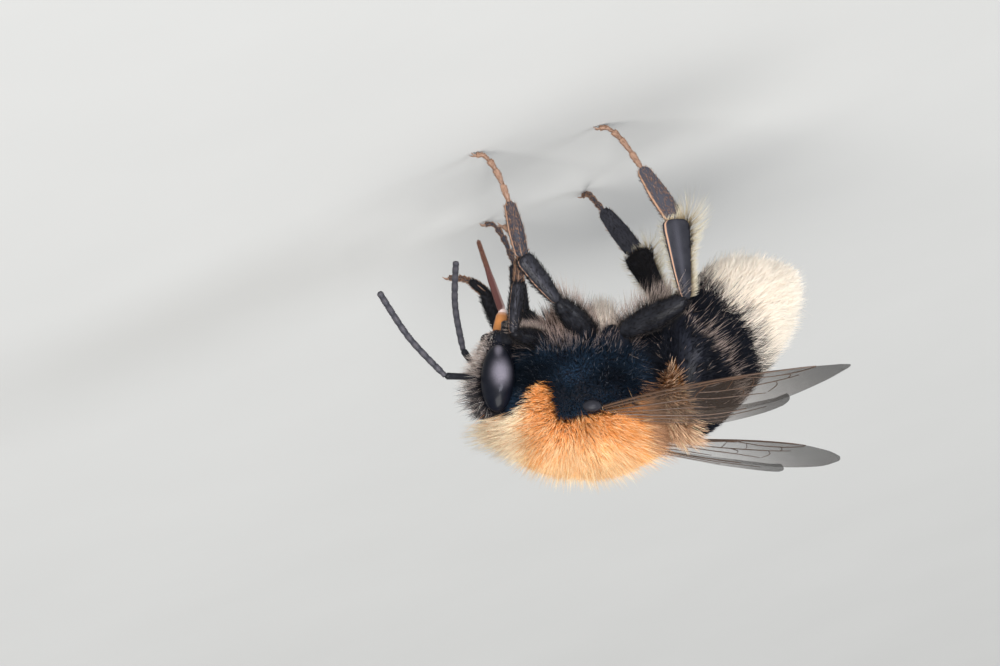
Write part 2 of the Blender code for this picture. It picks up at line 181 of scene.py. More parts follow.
# Each feeler's socket and elbow, then points along its whip to the tip.
FEELERS = {
    "right": ((5.75, -0.45, 8.42), (7.44, -1.2, 8.0), (8.42, -1.65, 5.95), (9.03, -2.0, 3.65)),
    "left": ((5.75, 0.45, 8.38), (6.15, 1.0, 6.55), (5.8, 1.25, 4.4), (5.1, 1.45, 2.45)),
}
FEELER_ROOT = ((0, 0.08, 0.08), (0.08, 0.13, 0.13), (0.5, 0.14, 0.14), (0.92, 0.155, 0.155), (1, 0.09, 0.09))
FEELER_RADIUS = 0.145
WHIP_JOINTS = 11
# Shares of the radius, at shares of one joint of the whip and of the whole whip.
WHIP_JOINT = ((0.0, 0.8), (0.12, 0.95), (0.5, 0.98), (0.85, 0.96))
WHIP_END = ((0.965, 0.96), (0.978, 0.86), (0.988, 0.68), (0.995, 0.45), (1.0, 0.1))

# The tongue's mouth end, its joint, the end of its sheath and its tip.
TONGUE = ((4.61, 0.0, 7.0), (4.03, 0.0, 5.74), (4.03, 0.0, 3.5), (3.99, 0.0, 2.31))
TONGUE_ROOT = ((0, 0.34, 0.3), (0.4, 0.36, 0.32), (0.85, 0.27, 0.25), (1, 0.16, 0.15))
TONGUE_BLADE = ((0, 0.13, 0.05), (0.15, 0.18, 0.06), (0.65, 0.155, 0.05), (0.94, 0.09, 0.04), (1, 0.03, 0.02))
TONGUE_FEATHER = ((0, 0.08, 0.05), (0.8, 0.06, 0.04), (1, 0.02, 0.02))
TONGUE_TIP = ((0, 0.07, 0.07), (0.2, 0.09, 0.09), (0.8, 0.075, 0.075), (0.97, 0.06, 0.06), (1, 0.03, 0.03))
RIGHT_JAW = ((4.45, -1.0, 7.45), (4.25, -1.04, 6.85), (4.15, -0.72, 6.35))    # from its hinge to its tip
JAW = ((0, 0.3, 0.2), (0.3, 0.28, 0.18), (0.7, 0.19, 0.12), (0.9, 0.16, 0.09), (0.97, 0.11, 0.06),
       (1, 0.03, 0.02))

# Root, tip and tilt of the tip for each forewing.
WINGS = {
    "right": ((1.55, -2.95, 11.9), (-8.2, -6.5, 14.2), -5.0),
    "left": ((1.55, 2.95, 11.9), (-8.1, 6.5, 14.4), 40.0),
}
# A forewing's front and rear edges in from its front line, and a hind wing's width, in shares of the length.
FOREWING_EDGES = ((0.0, 0.0, 0.05), (0.15, -0.02, 0.1), (0.4, -0.035, 0.215), (0.65, -0.035, 0.275),
                  (0.85, 0.0, 0.25), (0.96, 0.06, 0.19), (0.99, 0.095, 0.16), (1.0, 0.12, 0.135))
HINDWING_WIDTHS = ((0.03, 0.06), (0.2, 0.09), (0.5, 0.11), (0.8, 0.11), (0.93, 0.085), (0.98, 0.055),
                   (1.0, 0.01))
# Veins of a forewing: half thickness in mm, then points along and in from the front line, in shares.
FOREWING_VEINS = (
    (0.055, ((0.0, 0.01), (0.15, -0.008), (0.35, -0.022), (0.6, -0.025), (0.8, -0.005), (0.89, 0.02))),
    (0.05, ((0.0, 0.02), (0.15, 0.012), (0.35, 0.0), (0.52, -0.01), (0.6, -0.018))),
    (0.07, ((0.55, -0.014), (0.585, -0.012), (0.62, -0.02))),
    (0.03, ((0.6, -0.01), (0.68, 0.03), (0.78, 0.045), (0.86, 0.035), (0.89, 0.02))),
    (0.045, ((0.0, 0.035), (0.15, 0.048), (0.3, 0.065), (0.36, 0.075))),
    (0.035, ((0.36, 0.075), (0.39, 0.04), (0.43, 0.01), (0.45, -0.004))),
    (0.03, ((0.39, 0.04), (0.48, 0.065), (0.6, 0.082), (0.72, 0.09), (0.8, 0.085))),
    (0.025, ((0.5, 0.066), (0.525, 0.035), (0.55, 0.0))),
    (0.025, ((0.6, 0.082), (0.62, 0.05), (0.63, 0.015))),
    (0.025, ((0.75, 0.089), (0.77, 0.065), (0.765, 0.044))),
    (0.03, ((0.36, 0.075), (0.44, 0.11), (0.54, 0.14), (0.63, 0.175))),
    (0.025, ((0.53, 0.07), (0.56, 0.1), (0.54, 0.14))),
    (0.025, ((0.7, 0.089), (0.69, 0.13), (0.64, 0.172))),
    (0.03, ((0.0, 0.045), (0.15, 0.08), (0.3, 0.12), (0.42, 0.17))),
    (0.025, ((0.33, 0.07), (0.34, 0.1), (0.33, 0.128))),
)
# Veins of a hind wing: half thickness in mm, share of its length at the end, share of its width inwards.
HINDWING_VEINS = ((0.045, 0.75, 0.08), (0.03, 0.85, 0.4), (0.025, 0.6, 0.75))

# Where the coat changes colour. Thorax: forward, lowest ginger. Abdomen: height, x of the border.
GINGER_EDGE = ((-3.6, 0.8), (-3.0, 0.95), (-2.5, 1.25), (-1.6, 1.45), (-0.3, 1.9), (0.6, 2.15), (1.2, 2.05),
               (1.5, 0.95), (1.8, 0.4), (2.2, 0.3), (2.6, 0.65), (3.0, 1.3), (3.4, 1.85), (5.0, 1.5))
WHITE_EDGE = ((7.0, -4.4), (7.9, -4.72), (9.6, -5.67), (10.8, -6.04), (12.1, -6.15), (13.5, -6.1))
PALE_BAND = ((8.5, -3.0), (9.5, -3.3), (10.56, -3.73), (11.4, -4.14), (12.7, -4.29), (14.0, -4.2))
GINGER_BLUR = 0.15           # half width of the ginger's border, then of the white's
WHITE_BLUR = 0.12
WAIST_REAR = -1.6            # where the waist's ginger ends to the rear, and below
WAIST_LOW = 10.86
MARKED_AT = 0.7              # how far out from the skin the coat's colours are read for it
PALE_TUFT_AT = (0.1, -1.7, 8.3)      # between the middle and hind legs of the right side
PALE_TUFT_HALF = (0.55, 1.0, 0.6)
# Painted sheen: a bluish-grey patch painted into the black hair on each side of the thorax.
PAINTED_SHEEN_AT = (2.2, -2.75, 10.1)        # a softly shining patch on the side of the thorax
PAINTED_SHEEN_HALF = (0.75, 0.8, 0.5)

# How the coat grows: half thickness of a hair in mm, and hairs on each part.
HAIR_RADIUS = 0.0125
FACE_HAIR_RADIUS = HAIR_RADIUS * 0.7
LEG_HAIR_RADIUS = HAIR_RADIUS * 0.6
DOWN_RADIUS = HAIR_RADIUS * 0.4
HAIRS = {"thorax": 66000, "abdomen": 44000, "head": 6500, "legs": 20000}
FINE_HAIRS = 1500            # on each feeler and on the tongue
MOST_HAIRS = 19500           # in one piece
LEG_HAIR = {"thigh": (0.45, 0.3), "shin": (0.3, 0.24), "first_toe": (0.2, 0.16)}    # share of hairs, length
SMALL_TOE_HAIR = (0.05, 0.11)
FLOOR_GAP = 0.02             # between the floor and the lowest hair
# No hair grows over a leg or a wing's root within the first distance, and all of it past the second.
THIGH_ROOM = (0.4, 0.6)
TEGULA_ROOM = (0.3, 0.45)
PATCH = 0.003                # side of a hair's patch on the unwrap
LEG_CELLS = 5                # across the unwrap of the hair of the legs, and of the fine hair
FINE_CELLS = 2
CELL_MARGIN = 0.02
SEED = 12

BLACK = (0.006, 0.0065, 0.009)
GINGER = (0.80, 0.29, 0.055)
# Colours of hairs at the root and tip. A third colour is the tip of the lower or the lighter ones.
HUES = {
    "ginger": ((0.52, 0.17, 0.038), (0.88, 0.38, 0.125)),
    "pale_ginger": ((0.55, 0.28, 0.1), (0.92, 0.66, 0.4)),
    "collar": ((0.66, 0.46, 0.27), (0.94, 0.77, 0.57)),
    "rusty": ((0.13, 0.06, 0.033), (0.46, 0.25, 0.14)),
    "blue_black": ((0.003, 0.005, 0.009), (0.012, 0.025, 0.044)),
    "pale_tipped": ((0.012, 0.01, 0.011), (0.14, 0.15, 0.17), (0.52, 0.38, 0.32)),
    "white_tuft": ((0.4, 0.31, 0.25), (0.95, 0.82, 0.7)),
    "waist": ((0.1, 0.05, 0.03), (0.36, 0.19, 0.1), (0.78, 0.5, 0.32)),
    "black": ((0.003, 0.004, 0.007), (0.014, 0.016, 0.022)),
    "grey_tipped": ((0.03, 0.026, 0.026), (0.52, 0.41, 0.35)),
    "cream": ((0.98, 0.84, 0.68), (1.0, 0.91, 0.79)),
    "face": ((0.006, 0.006, 0.008), (0.09, 0.085, 0.09)),
    "pale_face": ((0.16, 0.13, 0.12), (0.85, 0.72, 0.64)),
    "bristles": ((0.004, 0.004, 0.006), (0.03, 0.027, 0.026)),
    "basket_fringe": ((0.25, 0.19, 0.11), (0.85, 0.78, 0.6)),
    "toe_hair": ((0.16, 0.08, 0.05), (0.45, 0.27, 0.17)),
    "thigh_fringe": ((0.02, 0.018, 0.018), (0.62, 0.5, 0.43)),
    "tongue_brush": ((0.1, 0.045, 0.03), (0.32, 0.17, 0.12)),
    "feeler_down": ((0.03, 0.027, 0.028), (0.13, 0.12, 0.125)),
}

CAMERA_TURN = 5.0            # how far the camera is ahead of straight at the bee's right side
CAMERA_RISE = 15.0
CAMERA_ROLL = 160.5          # from level, so that it looks nearly upside down
CAMERA_DISTANCE = 300.0
VIEW_WIDTH = 43.48
VIEW_CENTRE = (4.736, -3.332, 7.497)
SENSOR_WIDTH = 36.0
FLOOR_HALF = 4.0             # in metres
SKY = (0.9, 0.95, 1.0)
SKY_STRENGTH = 0.15
# Lights: place and size in mm, power, colour. They all face the middle of the bee.
LIGHTS = {
    "key_light": ((150, -560, 360), (440, 440), 7.2, (1.0, 0.98, 0.95)),
    "front_light": ((-70, -660, 60), (260, 100), 2.2, (0.88, 0.88, 1.0)),
    "rear_light": ((-510, -180, 240), (270, 270), 2.0, (0.93, 0.96, 1.0)),
    "top_light": ((30, 180, 540), (420, 420), 1.4, (1.0, 0.98, 0.95)),
}
LIT_AT = (0, 0, 8)


def mm(point):
    return Vector(point) * MM


def lean(at=(0, 0, 0)):
    """The frame of the thorax or head, in millimetres: nose down about +Y, set at a point."""
    return Matrix.Translation(at) @ Matrix.Rotation(math.radians(PITCH), 4, "Y")


def mirrored(point):
    return (point[0], -point[1], point[2])


def between(rows, place):
    """A smooth row of values at a place counted in rows, by Catmull-Rom through its neighbours."""
    last = len(rows) - 1
    index = min(int(place), last - 1)
    t = place - index
    a, b, c, d = (Vector(rows[min(max(index + k, 0), last)]) for k in (-1, 0, 1, 2))
    bend = a - b * 2.5 + c * 2 - d / 2
    turn = (b - c) * 1.5 + (d - a) / 2
    return b + (c - a) * (t / 2) + bend * t**2 + turn * t**3


def evenly(rows, steps):
    """Smooth rows of values, at even steps from the first row to the last."""
    return [between(rows, (len(rows) - 1) * step / steps) for step in range(steps + 1)]


def between_shares(rows, share):
    """The rest of a row at a share, its first value, by straight lines between the rows."""
    for before, after in zip(rows, rows[1:]):
        if share <= after[0]:
            part = max(0.0, (share - before[0]) / (after[0] - before[0]))
            return [a + (b - a) * part for a, b in zip(before[1:], after[1:])]
    return list(rows[-1][1:])


def section(centre, across, over):
    """The matrix that carries a unit circle to an ellipse with these two half axes, all in millimetres."""
    across = Vector(across)
    over = Vector(over)
    matrix = Matrix((across, over, across.cross(over).normalized())).transposed().to_4x4()
    matrix.translation = Vector(centre)
    return Matrix.Scale(MM, 4) @ matrix


def loft(bm, sections, sides):
    """Adds a closed body through the sections, grown from each to the next by extruding its end face."""
    made = bmesh.ops.create_circle(bm, cap_ends=True, segments=sides, radius=1.0, matrix=sections[0])
    start = end = made["verts"][0].link_faces[0]
    verts = list(made["verts"])
    for before, after in zip(sections, sections[1:]):
        grown = bmesh.ops.extrude_face_region(bm, geom=[end])["geom"]
        if end is not start:
            bmesh.ops.delete(bm, geom=[end], context="FACES_ONLY")
        end = next(item for item in grown if isinstance(item, bmesh.types.BMFace))
        bmesh.ops.transform(bm, matrix=after @ before.inverted(), verts=end.verts[:])
        verts += end.verts[:]
    return verts


def ball(bm, centre, half, turn=Matrix.Identity(4), rings=16):
    """Adds an ellipsoid, in millimetres."""
    matrix = Matrix.Scale(MM, 4) @ Matrix.Translation(centre) @ turn @ Matrix.Diagonal((*half, 1.0))
    made = bmesh.ops.create_uvsphere(bm, u_segments=2 * rings, v_segments=rings, radius=1.0, matrix=matrix)
    return made["verts"]


def mesh_of(name, bm):
    """The mesh of a finished bmesh, with its faces turned outwards."""
    bmesh.ops.recalc_face_normals(bm, faces=bm.faces)
    mesh = bpy.data.meshes.new(name)
    bm.to_mesh(mesh)
    bm.free()
    return mesh


def add_object(name, data):
    made = bpy.data.objects.new(name, data)
    bpy.context.scene.collection.objects.link(made)
    return made


def add_mesh(name, mesh, finish, replaced=()):
    """Makes a smoothly shaded piece, riding on the body, in place of some solids."""
    mesh.materials.append(finish)
    mesh.shade_smooth()
    piece = add_object(name, mesh)
    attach(piece, "root")
    if replaced:
        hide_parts(*replaced)
    return piece


def add_piece(name, bm, finish, slot, replaced=(), **layers):
    """Makes a piece of a finished bmesh. The layers hold a number for each of its points."""
    piece = add_mesh(name, mesh_of(name, bm), finish, replaced)
    paint(piece.data, **layers)
    return piece


def paint(mesh, **layers):
    """Stores numbers for the points of a mesh, for the finish to read."""
    for name, values in layers.items():
        layer = mesh.attributes.new(name, "FLOAT", "POINT")
        layer.data.foreach_set("value", np.asarray(values, np.float32))


# Shader maths

class Value:
    """A socket that can stand in a Python expression, which then adds its own Math nodes."""

    def __init__(self, finish, socket):
        self.finish = finish
        self.socket = socket

    def math(self, operation, *others):
        inputs = dict(enumerate((self, *others)))
        return self.finish.node("ShaderNodeMath", {"operation": operation}, inputs)

    def __add__(self, other):
        return self.math("ADD", other)

    def __mul__(self, other):
        return self.math("MULTIPLY", other)

    def __sub__(self, other):
        return self.math("SUBTRACT", other)

    def __rsub__(self, other):
        return self.math("MULTIPLY", -1.0) + other

    __radd__ = __add__
    __rmul__ = __mul__


class Finish:
    """One material: its nodes, and the Principled shader that they feed."""

    def __init__(self, name, **settings):
        self.material = bpy.data.materials.new(name)
        self.material.use_nodes = True
        self.tree = self.material.node_tree
        self.shader = self.tree.nodes["Principled BSDF"]
        for socket, value in settings.items():
            self.set(socket.replace("_", " "), value)

    def node(self, kind, settings=None, inputs=None, output=0):
        """Adds a node: its settings first, then the values or links of its sockets."""
        made = self.tree.nodes.new(kind)
        for name, value in (settings or {}).items():
            setattr(made, name, value)
        for name, value in (inputs or {}).items():
            if isinstance(value, Value):
                self.tree.links.new(value.socket, made.inputs[name])
            else:
                made.inputs[name].default_value = value
        return Value(self, made.outputs[output])

    def set(self, name, value):
        if isinstance(value, Value):
            self.tree.links.new(value.socket, self.shader.inputs[name])
        else:
            self.shader.inputs[name].default_value = value

    def attribute(self, name, output=2):
        return self.node("ShaderNodeAttribute", {"attribute_name": name}, output=output)

    def texture(self, kind, size, **inputs):
        """A texture whose forms are about this many millimetres across."""
        place = self.node("ShaderNodeTexCoord", output=3)
        return self.node(kind, {}, {"Vector": place, "Scale": 1 / (size * MM), **inputs})

    def noise(self, size):
        """Cloudy noise."""
        return self.texture("ShaderNodeTexNoise", size, Detail=3.0)

    def cells(self, size):
        """Distance to the nearest of many scattered points."""
        return self.texture("ShaderNodeTexVoronoi", size)

    def mix(self, factor, low, high):
        """A colour between two, each a colour or a Value."""
        colours = {6: low, 7: high}
        inputs = {i: c if isinstance(c, Value) else (*c, 1.0) for i, c in colours.items()}
        return self.node("ShaderNodeMix", {"data_type": "RGBA"}, {0: factor, **inputs}, output=2)

    def clamp(self, value, low, high):
        """0 to 1 as the value goes from low to high."""
        inputs = {"Value": value, "From Min": low, "From Max": high}
        return self.node("ShaderNodeMapRange", {}, inputs)

    def bump(self, height, depth, strength=1.0):
        """Roughens the surface by a height from 0 to 1, that many millimetres deep."""
        inputs = {"Height": height, "Distance": depth * MM, "Strength": strength}
        self.set("Normal", self.node("ShaderNodeBump", {}, inputs))


def shell_finish(name, colour, thin_and_sheen_colour, edge_and_highlight_colour, gloss, bluish=0.0):
    """Horny shell: nearly even, finely pitted, of other colours where it is thin and at thin edges, and with
    painted sheen, highlights and shade that some pieces add to the same layer.
    """
    finish = Finish(name, Roughness=gloss, Coat_Weight=0.05, Coat_Roughness=0.15, Specular_IOR_Level=0.08)
    cloud = finish.noise(0.5)
    rust = finish.attribute("rust")
    lighter = tuple(c * 1.6 + bluish * 0.008 for c in colour)
    dark = finish.mix(finish.clamp(cloud, 0.35, 0.7), colour, lighter)
    thin = finish.mix(finish.clamp(rust, 0.0, 0.5), dark, thin_and_sheen_colour)
    finish.set("Base Color", finish.mix(finish.clamp(rust, 0.5, 1.0), thin, edge_and_highlight_colour))
    finish.set("Roughness", finish.clamp(finish.noise(0.12), 0.2, 0.9) * 0.15 + gloss)
    finish.bump(finish.cells(0.06) + finish.noise(0.2), 0.008)
    return finish.material


def skin_finish():
    """The skin under the coat, dark shell that takes on the coat's own markings."""
    finish = Finish("skin", Specular_IOR_Level=0.08, Coat_Roughness=0.2)
    black = finish.mix(finish.clamp(finish.noise(0.4), 0.3, 0.75), BLACK, (0.014, 0.016, 0.024))
    ginger = finish.mix(finish.attribute("ginger"), black, tuple(c * 0.35 for c in GINGER))
    finish.set("Base Color", finish.mix(finish.attribute("white"), ginger, (0.75, 0.66, 0.54)))
    bare = finish.attribute("bare")
    finish.set("Roughness", finish.clamp(finish.noise(0.15), 0.2, 0.8) * 0.15 + 0.55 - bare * 0.22)
    finish.set("Coat Weight", bare * 0.06)
    finish.bump(finish.cells(0.07), 0.006)
    return finish.material


def coat_finish(name):
    """Hair whose colour goes from its root to its tip, each hair a little unlike the next."""
    finish = Finish(name, Roughness=0.6, Specular_IOR_Level=0.07)
    colour = finish.attribute("hair", 0)
    cloud = finish.clamp(finish.noise(0.35), 0.3, 0.7) * 0.25
    deeper = finish.node("ShaderNodeHueSaturation", {}, {"Color": colour, "Value": 0.7, "Saturation": 1.1})
    finish.set("Base Color", finish.mix(cloud, colour, deeper))
    return finish.material


def eye_finish():
    """Compound eye: black and glossy with hundreds of fine facets, and a painted lilac highlight in its
    middle.
    """
    finish = Finish("compound_eye", Coat_Weight=0.08, Coat_Roughness=0.08, Specular_IOR_Level=0.08)
    facets = finish.cells(0.045)
    cloud = finish.clamp(finish.noise(0.6), 0.3, 0.8)
    black = finish.mix(cloud, (0.002, 0.003, 0.006), (0.006, 0.007, 0.012))
    # A painted lilac highlight, mottled by cloud and by the facets.
    bloom = finish.attribute("bloom") * (finish.noise(0.3) * 0.5 + facets * 0.4 + 0.55)
    finish.set("Base Color", finish.mix(bloom, black, (0.16, 0.15, 0.18)))
    finish.set("Roughness", facets * 0.12 + 0.34)
    finish.bump(1 - facets, 0.006, 0.6)
    return finish.material


def membrane_finish():
    """Thin smoky wing membrane, brown and darker to the outer end."""
    finish = Finish("smoky_membrane", Roughness=0.3, Specular_IOR_Level=0.25)
    smoke = finish.attribute("smoke")
    cloud = finish.noise(0.8)
    finish.set("Base Color", finish.mix(smoke, (0.07, 0.045, 0.028), (0.02, 0.016, 0.014)))
    finish.set("Alpha", smoke * 0.42 + cloud * 0.08 + 0.1)
    finish.bump(finish.noise(0.25), 0.02)
    return finish.material


def vein_finish():
    finish = Finish("wing_vein", Coat_Weight=0.2)
    finish.set("Base Color", finish.mix(finish.noise(0.5), (0.03, 0.014, 0.007), (0.09, 0.04, 0.016)))
    finish.set("Roughness", finish.noise(0.1) * 0.2 + 0.3)
    finish.bump(finish.noise(0.06), 0.01)
    return finish.material


# Skin and its markings

def step_up(value, low, high):
    """0 to 1 as the value goes from low to high, eased at both ends."""
    t = np.clip((value - low) / (high - low), 0, 1)
    return t * t * (3 - 2 * t)


def hump(value, middle, half):
    """1 where the value is in the middle, falling to nothing on both sides."""
    return np.exp(-(((value - middle) / half) ** 2))


def in_frame(points, at):
    """Points given in millimetres, in the thorax's or head's own frame: forward, left and up."""
    return ((points - np.array(at)) @ np.array(lean().to_3x3())).T


def edge_at(rows, values):
    return np.interp(values, [row[0] for row in rows], [row[1] for row in rows])


def past(value, edge, blur):
    """0 to 1 as the value passes an edge that is blurred this far to both sides."""
    return step_up(value, edge - blur, edge + blur)


def ginger_on_thorax(points):
    """How ginger the thorax is, 0 to 1, for points of its outer surface in millimetres."""
    forward, _, up = in_frame(points, THORAX_AT)
    return past(up, edge_at(GINGER_EDGE, forward), GINGER_BLUR)


def ginger_on_waist(points):
    x, z = points[:, 0], points[:, 2]
    rear = WAIST_REAR - 0.12 * (z - WAIST_LOW)
    low = WAIST_LOW + 0.47 * (x + 1.65)
    return past(x, rear, GINGER_BLUR) * past(z, low, GINGER_BLUR)


def white_on_tail(points):
    return 1 - past(points[:, 0], edge_at(WHITE_EDGE, points[:, 2]), WHITE_BLUR)


def swept(rows, steps, at, ellipse):
    """Sections through rows of the thorax's or head's own frame, by what makes each row an ellipse."""
    to_world = Matrix.Scale(MM, 4) @ lean(at) @ Matrix.Scale(1 / MM, 4)
    return [to_world @ section(*ellipse(*row)) for row in evenly(rows, steps)]


def thorax_sections(rows=THORAX_SKIN, steps=48):
    def ellipse(x, top, bottom, half_width):
        return (x, 0, (top + bottom) / 2), (0, half_width, 0), (0, 0, (top - bottom) / 2)
    return swept(rows, steps, THORAX_AT, ellipse)


def head_sections(rows=HEAD_SKIN, steps=32):
    def ellipse(z, x, half_thickness, half_width):
        return (x, 0, z), (half_thickness, 0, 0), (0, half_width, 0)
    return swept(rows, steps, HEAD_AT, ellipse)


def plate_rise(place):
    """How far the shell stands up towards the rear edge of its segment, where it overlaps the next."""
    start = max(edge for edge in SEGMENT_EDGES if edge <= place)
    after = [edge for edge in SEGMENT_EDGES if edge > place]
    share = (place - start) / (after[0] - start) if after else 0.0
    return PLATE_RISE * share**2 * (1 - step_up(place, 3.4, 4.2))


def abdomen_section(place, coat_share=1.0):
    """A section of the abdomen's skin, or with less of the coat taken off, further out."""
    x, z, half_height, half_width, slope, coat = between(ABDOMEN, place)
    slope = math.radians(slope)
    up = Vector((-math.sin(slope), 0, math.cos(slope)))
    inset = coat * coat_share - plate_rise(place) * coat_share
    narrow = 1.0
    if coat_share:
        narrow = (step_up(place, 0.0, 0.6) * 0.2 + 0.8) * math.sqrt(max(0.004, 1 - (place / SKIN_END)**20))
    height = max(half_height - inset, 0.2) * narrow
    width = max(half_width - inset, 0.2) * narrow
    return section((x, 0, z), (0, -width, 0), up * height)


def abdomen_sections(coat_share=1.0, steps=110, end=SKIN_END):
    return [abdomen_section(end * step / steps, coat_share) for step in range(steps + 1)]


def read(mesh, what):
    """The places or normals of a mesh's points."""
    values = np.empty(len(mesh.vertices) * 3, np.float32)
    mesh.vertices.foreach_get(what, values)
    return values.reshape(-1, 3)


def points_of(mesh):
    return read(mesh, "co").astype(float) / MM


def skin_part(add, *how):
    """A body to join into the skin, filled by loft or ball."""
    bm = bmesh.new()
    add(bm, *how)
    return add_object("skin_part", mesh_of("skin_part", bm))


def make_skin(finish):
    """One skin over head, thorax and abdomen, with the face's own forms and the hips raised on it."""
    face = lean(HEAD_AT)
    turn = face.to_3x3().to_4x4()
    bodies = (thorax_sections(), head_sections(), abdomen_sections())
    hips = [joints[0] for joints in LEGS.values()]
    parts = [skin_part(loft, sections, SKIN_SIDES) for sections in bodies]
    parts += [skin_part(ball, face @ Vector(centre), half, turn) for centre, half in FACE_FORMS]
    parts += [skin_part(ball, (x + 0.35, y * 0.72, z + 0.25), HIP_HALF, Matrix.Identity(4), 12)
              for x, y, z in hips]
    whole = parts[0]
    for part in parts[1:]:
        union = whole.modifiers.new("union", "BOOLEAN")
        union.operation = "UNION"
        union.object = part
    bpy.context.view_layer.update()
    mesh = bpy.data.meshes.new_from_object(whole.evaluated_get(bpy.context.evaluated_depsgraph_get()))
    for part in parts:
        bpy.data.objects.remove(part)
    mesh.name = "skin"

    points = points_of(mesh)
    outer = points + read(mesh, "normal") * MARKED_AT
    forward = in_frame(points, THORAX_AT)[0]
    past_waist = step_up(forward, -3.3, -3.1)
    on_thorax = past_waist * (1 - step_up(forward, 2.9, 3.1))
    ginger = ginger_on_thorax(outer) * on_thorax + ginger_on_waist(outer) * (1 - past_waist)
    bare = (1 - step_up(forward, -3.4, -3.2)) * step_up(points[:, 0], -4.4, -3.9) * (1 - ginger)
    paint(mesh, ginger=ginger, white=white_on_tail(outer), bare=bare)
    flesh = ["head", "thorax"] + [f"abdomen_segment_{number}" for number in range(1, 7)]
    add_mesh("skin", mesh, finish, flesh)


def make_eyes(finish):
    """Compound eyes, and the three small simple eyes on the crown."""
    face = lean(HEAD_AT)
    for side, sign in (("right", -1), ("left", 1)):
        bm = bmesh.new()
        x, y, z = EYE_AT
        turn = lean() @ Matrix.Rotation(math.radians(-sign * EYE_TOE_IN), 4, "Z")
        ball(bm, face @ Vector((x, sign * y, z)), EYE_HALF, turn, 28)
        piece = add_piece(f"compound_eye_{side}", bm, finish, "eye_lens", [f"eye_{side}"])
        # Painted lilac highlights, placed on the right eye by mirroring those of the left.
        bloom = 0
        for centre, half, strength in PAINTED_EYE_HIGHLIGHTS:
            off = in_frame(points_of(piece.data), np.array(centre) * (1, sign, 1)).T / half
            bloom += strength * np.exp(-np.sum(off**2, axis=1)**1.4)
        paint(piece.data, bloom=bloom)
    bm = bmesh.new()
    for place in SIMPLE_EYES:
        ball(bm, face @ Vector(place), (SIMPLE_EYE_RADIUS,) * 3, rings=8)
    add_piece("simple_eyes", bm, finish, "eye_lens")


# Legs, feelers and mouth

def limb_sections(path, profile, flat_side, steps=14):
    """Sections along a path, whose profile gives shares of the length with half breadth and half depth."""
    path = [Vector(point) for point in path]
    made = []
    for step in range(steps + 1):
        share = eased(step, steps)
        place = share * (len(path) - 1)
        along = between(path, min(place + 0.1, len(path) - 1)) - between(path, max(place - 0.1, 0))
        broad = along.cross(Vector(flat_side)).normalized()
        deep = broad.cross(along).normalized()
        half, half_depth = between_shares(profile, share)
        made.append(section(between(path, place), broad * half, deep * half_depth))
    return made


def eased(step, steps):
    """How far along a limb a step is, 0 to 1, with the steps closer together at both ends."""
    return 0.5 - 0.5 * math.cos(math.pi * step / steps)


def claw(bm, root, aim, side):
    """A hooked claw, from the end of the last toe."""
    aim = aim.normalized()
    path = [root, root + (aim + side * 0.5) * CLAW_LENGTH * 0.5,
            root + (aim * 1.1 + side * 0.7 + Vector((0, 0, -0.35))) * CLAW_LENGTH * 0.8]
    loft(bm, limb_sections(path, CLAW, (0, 0, 1), 6), 8)


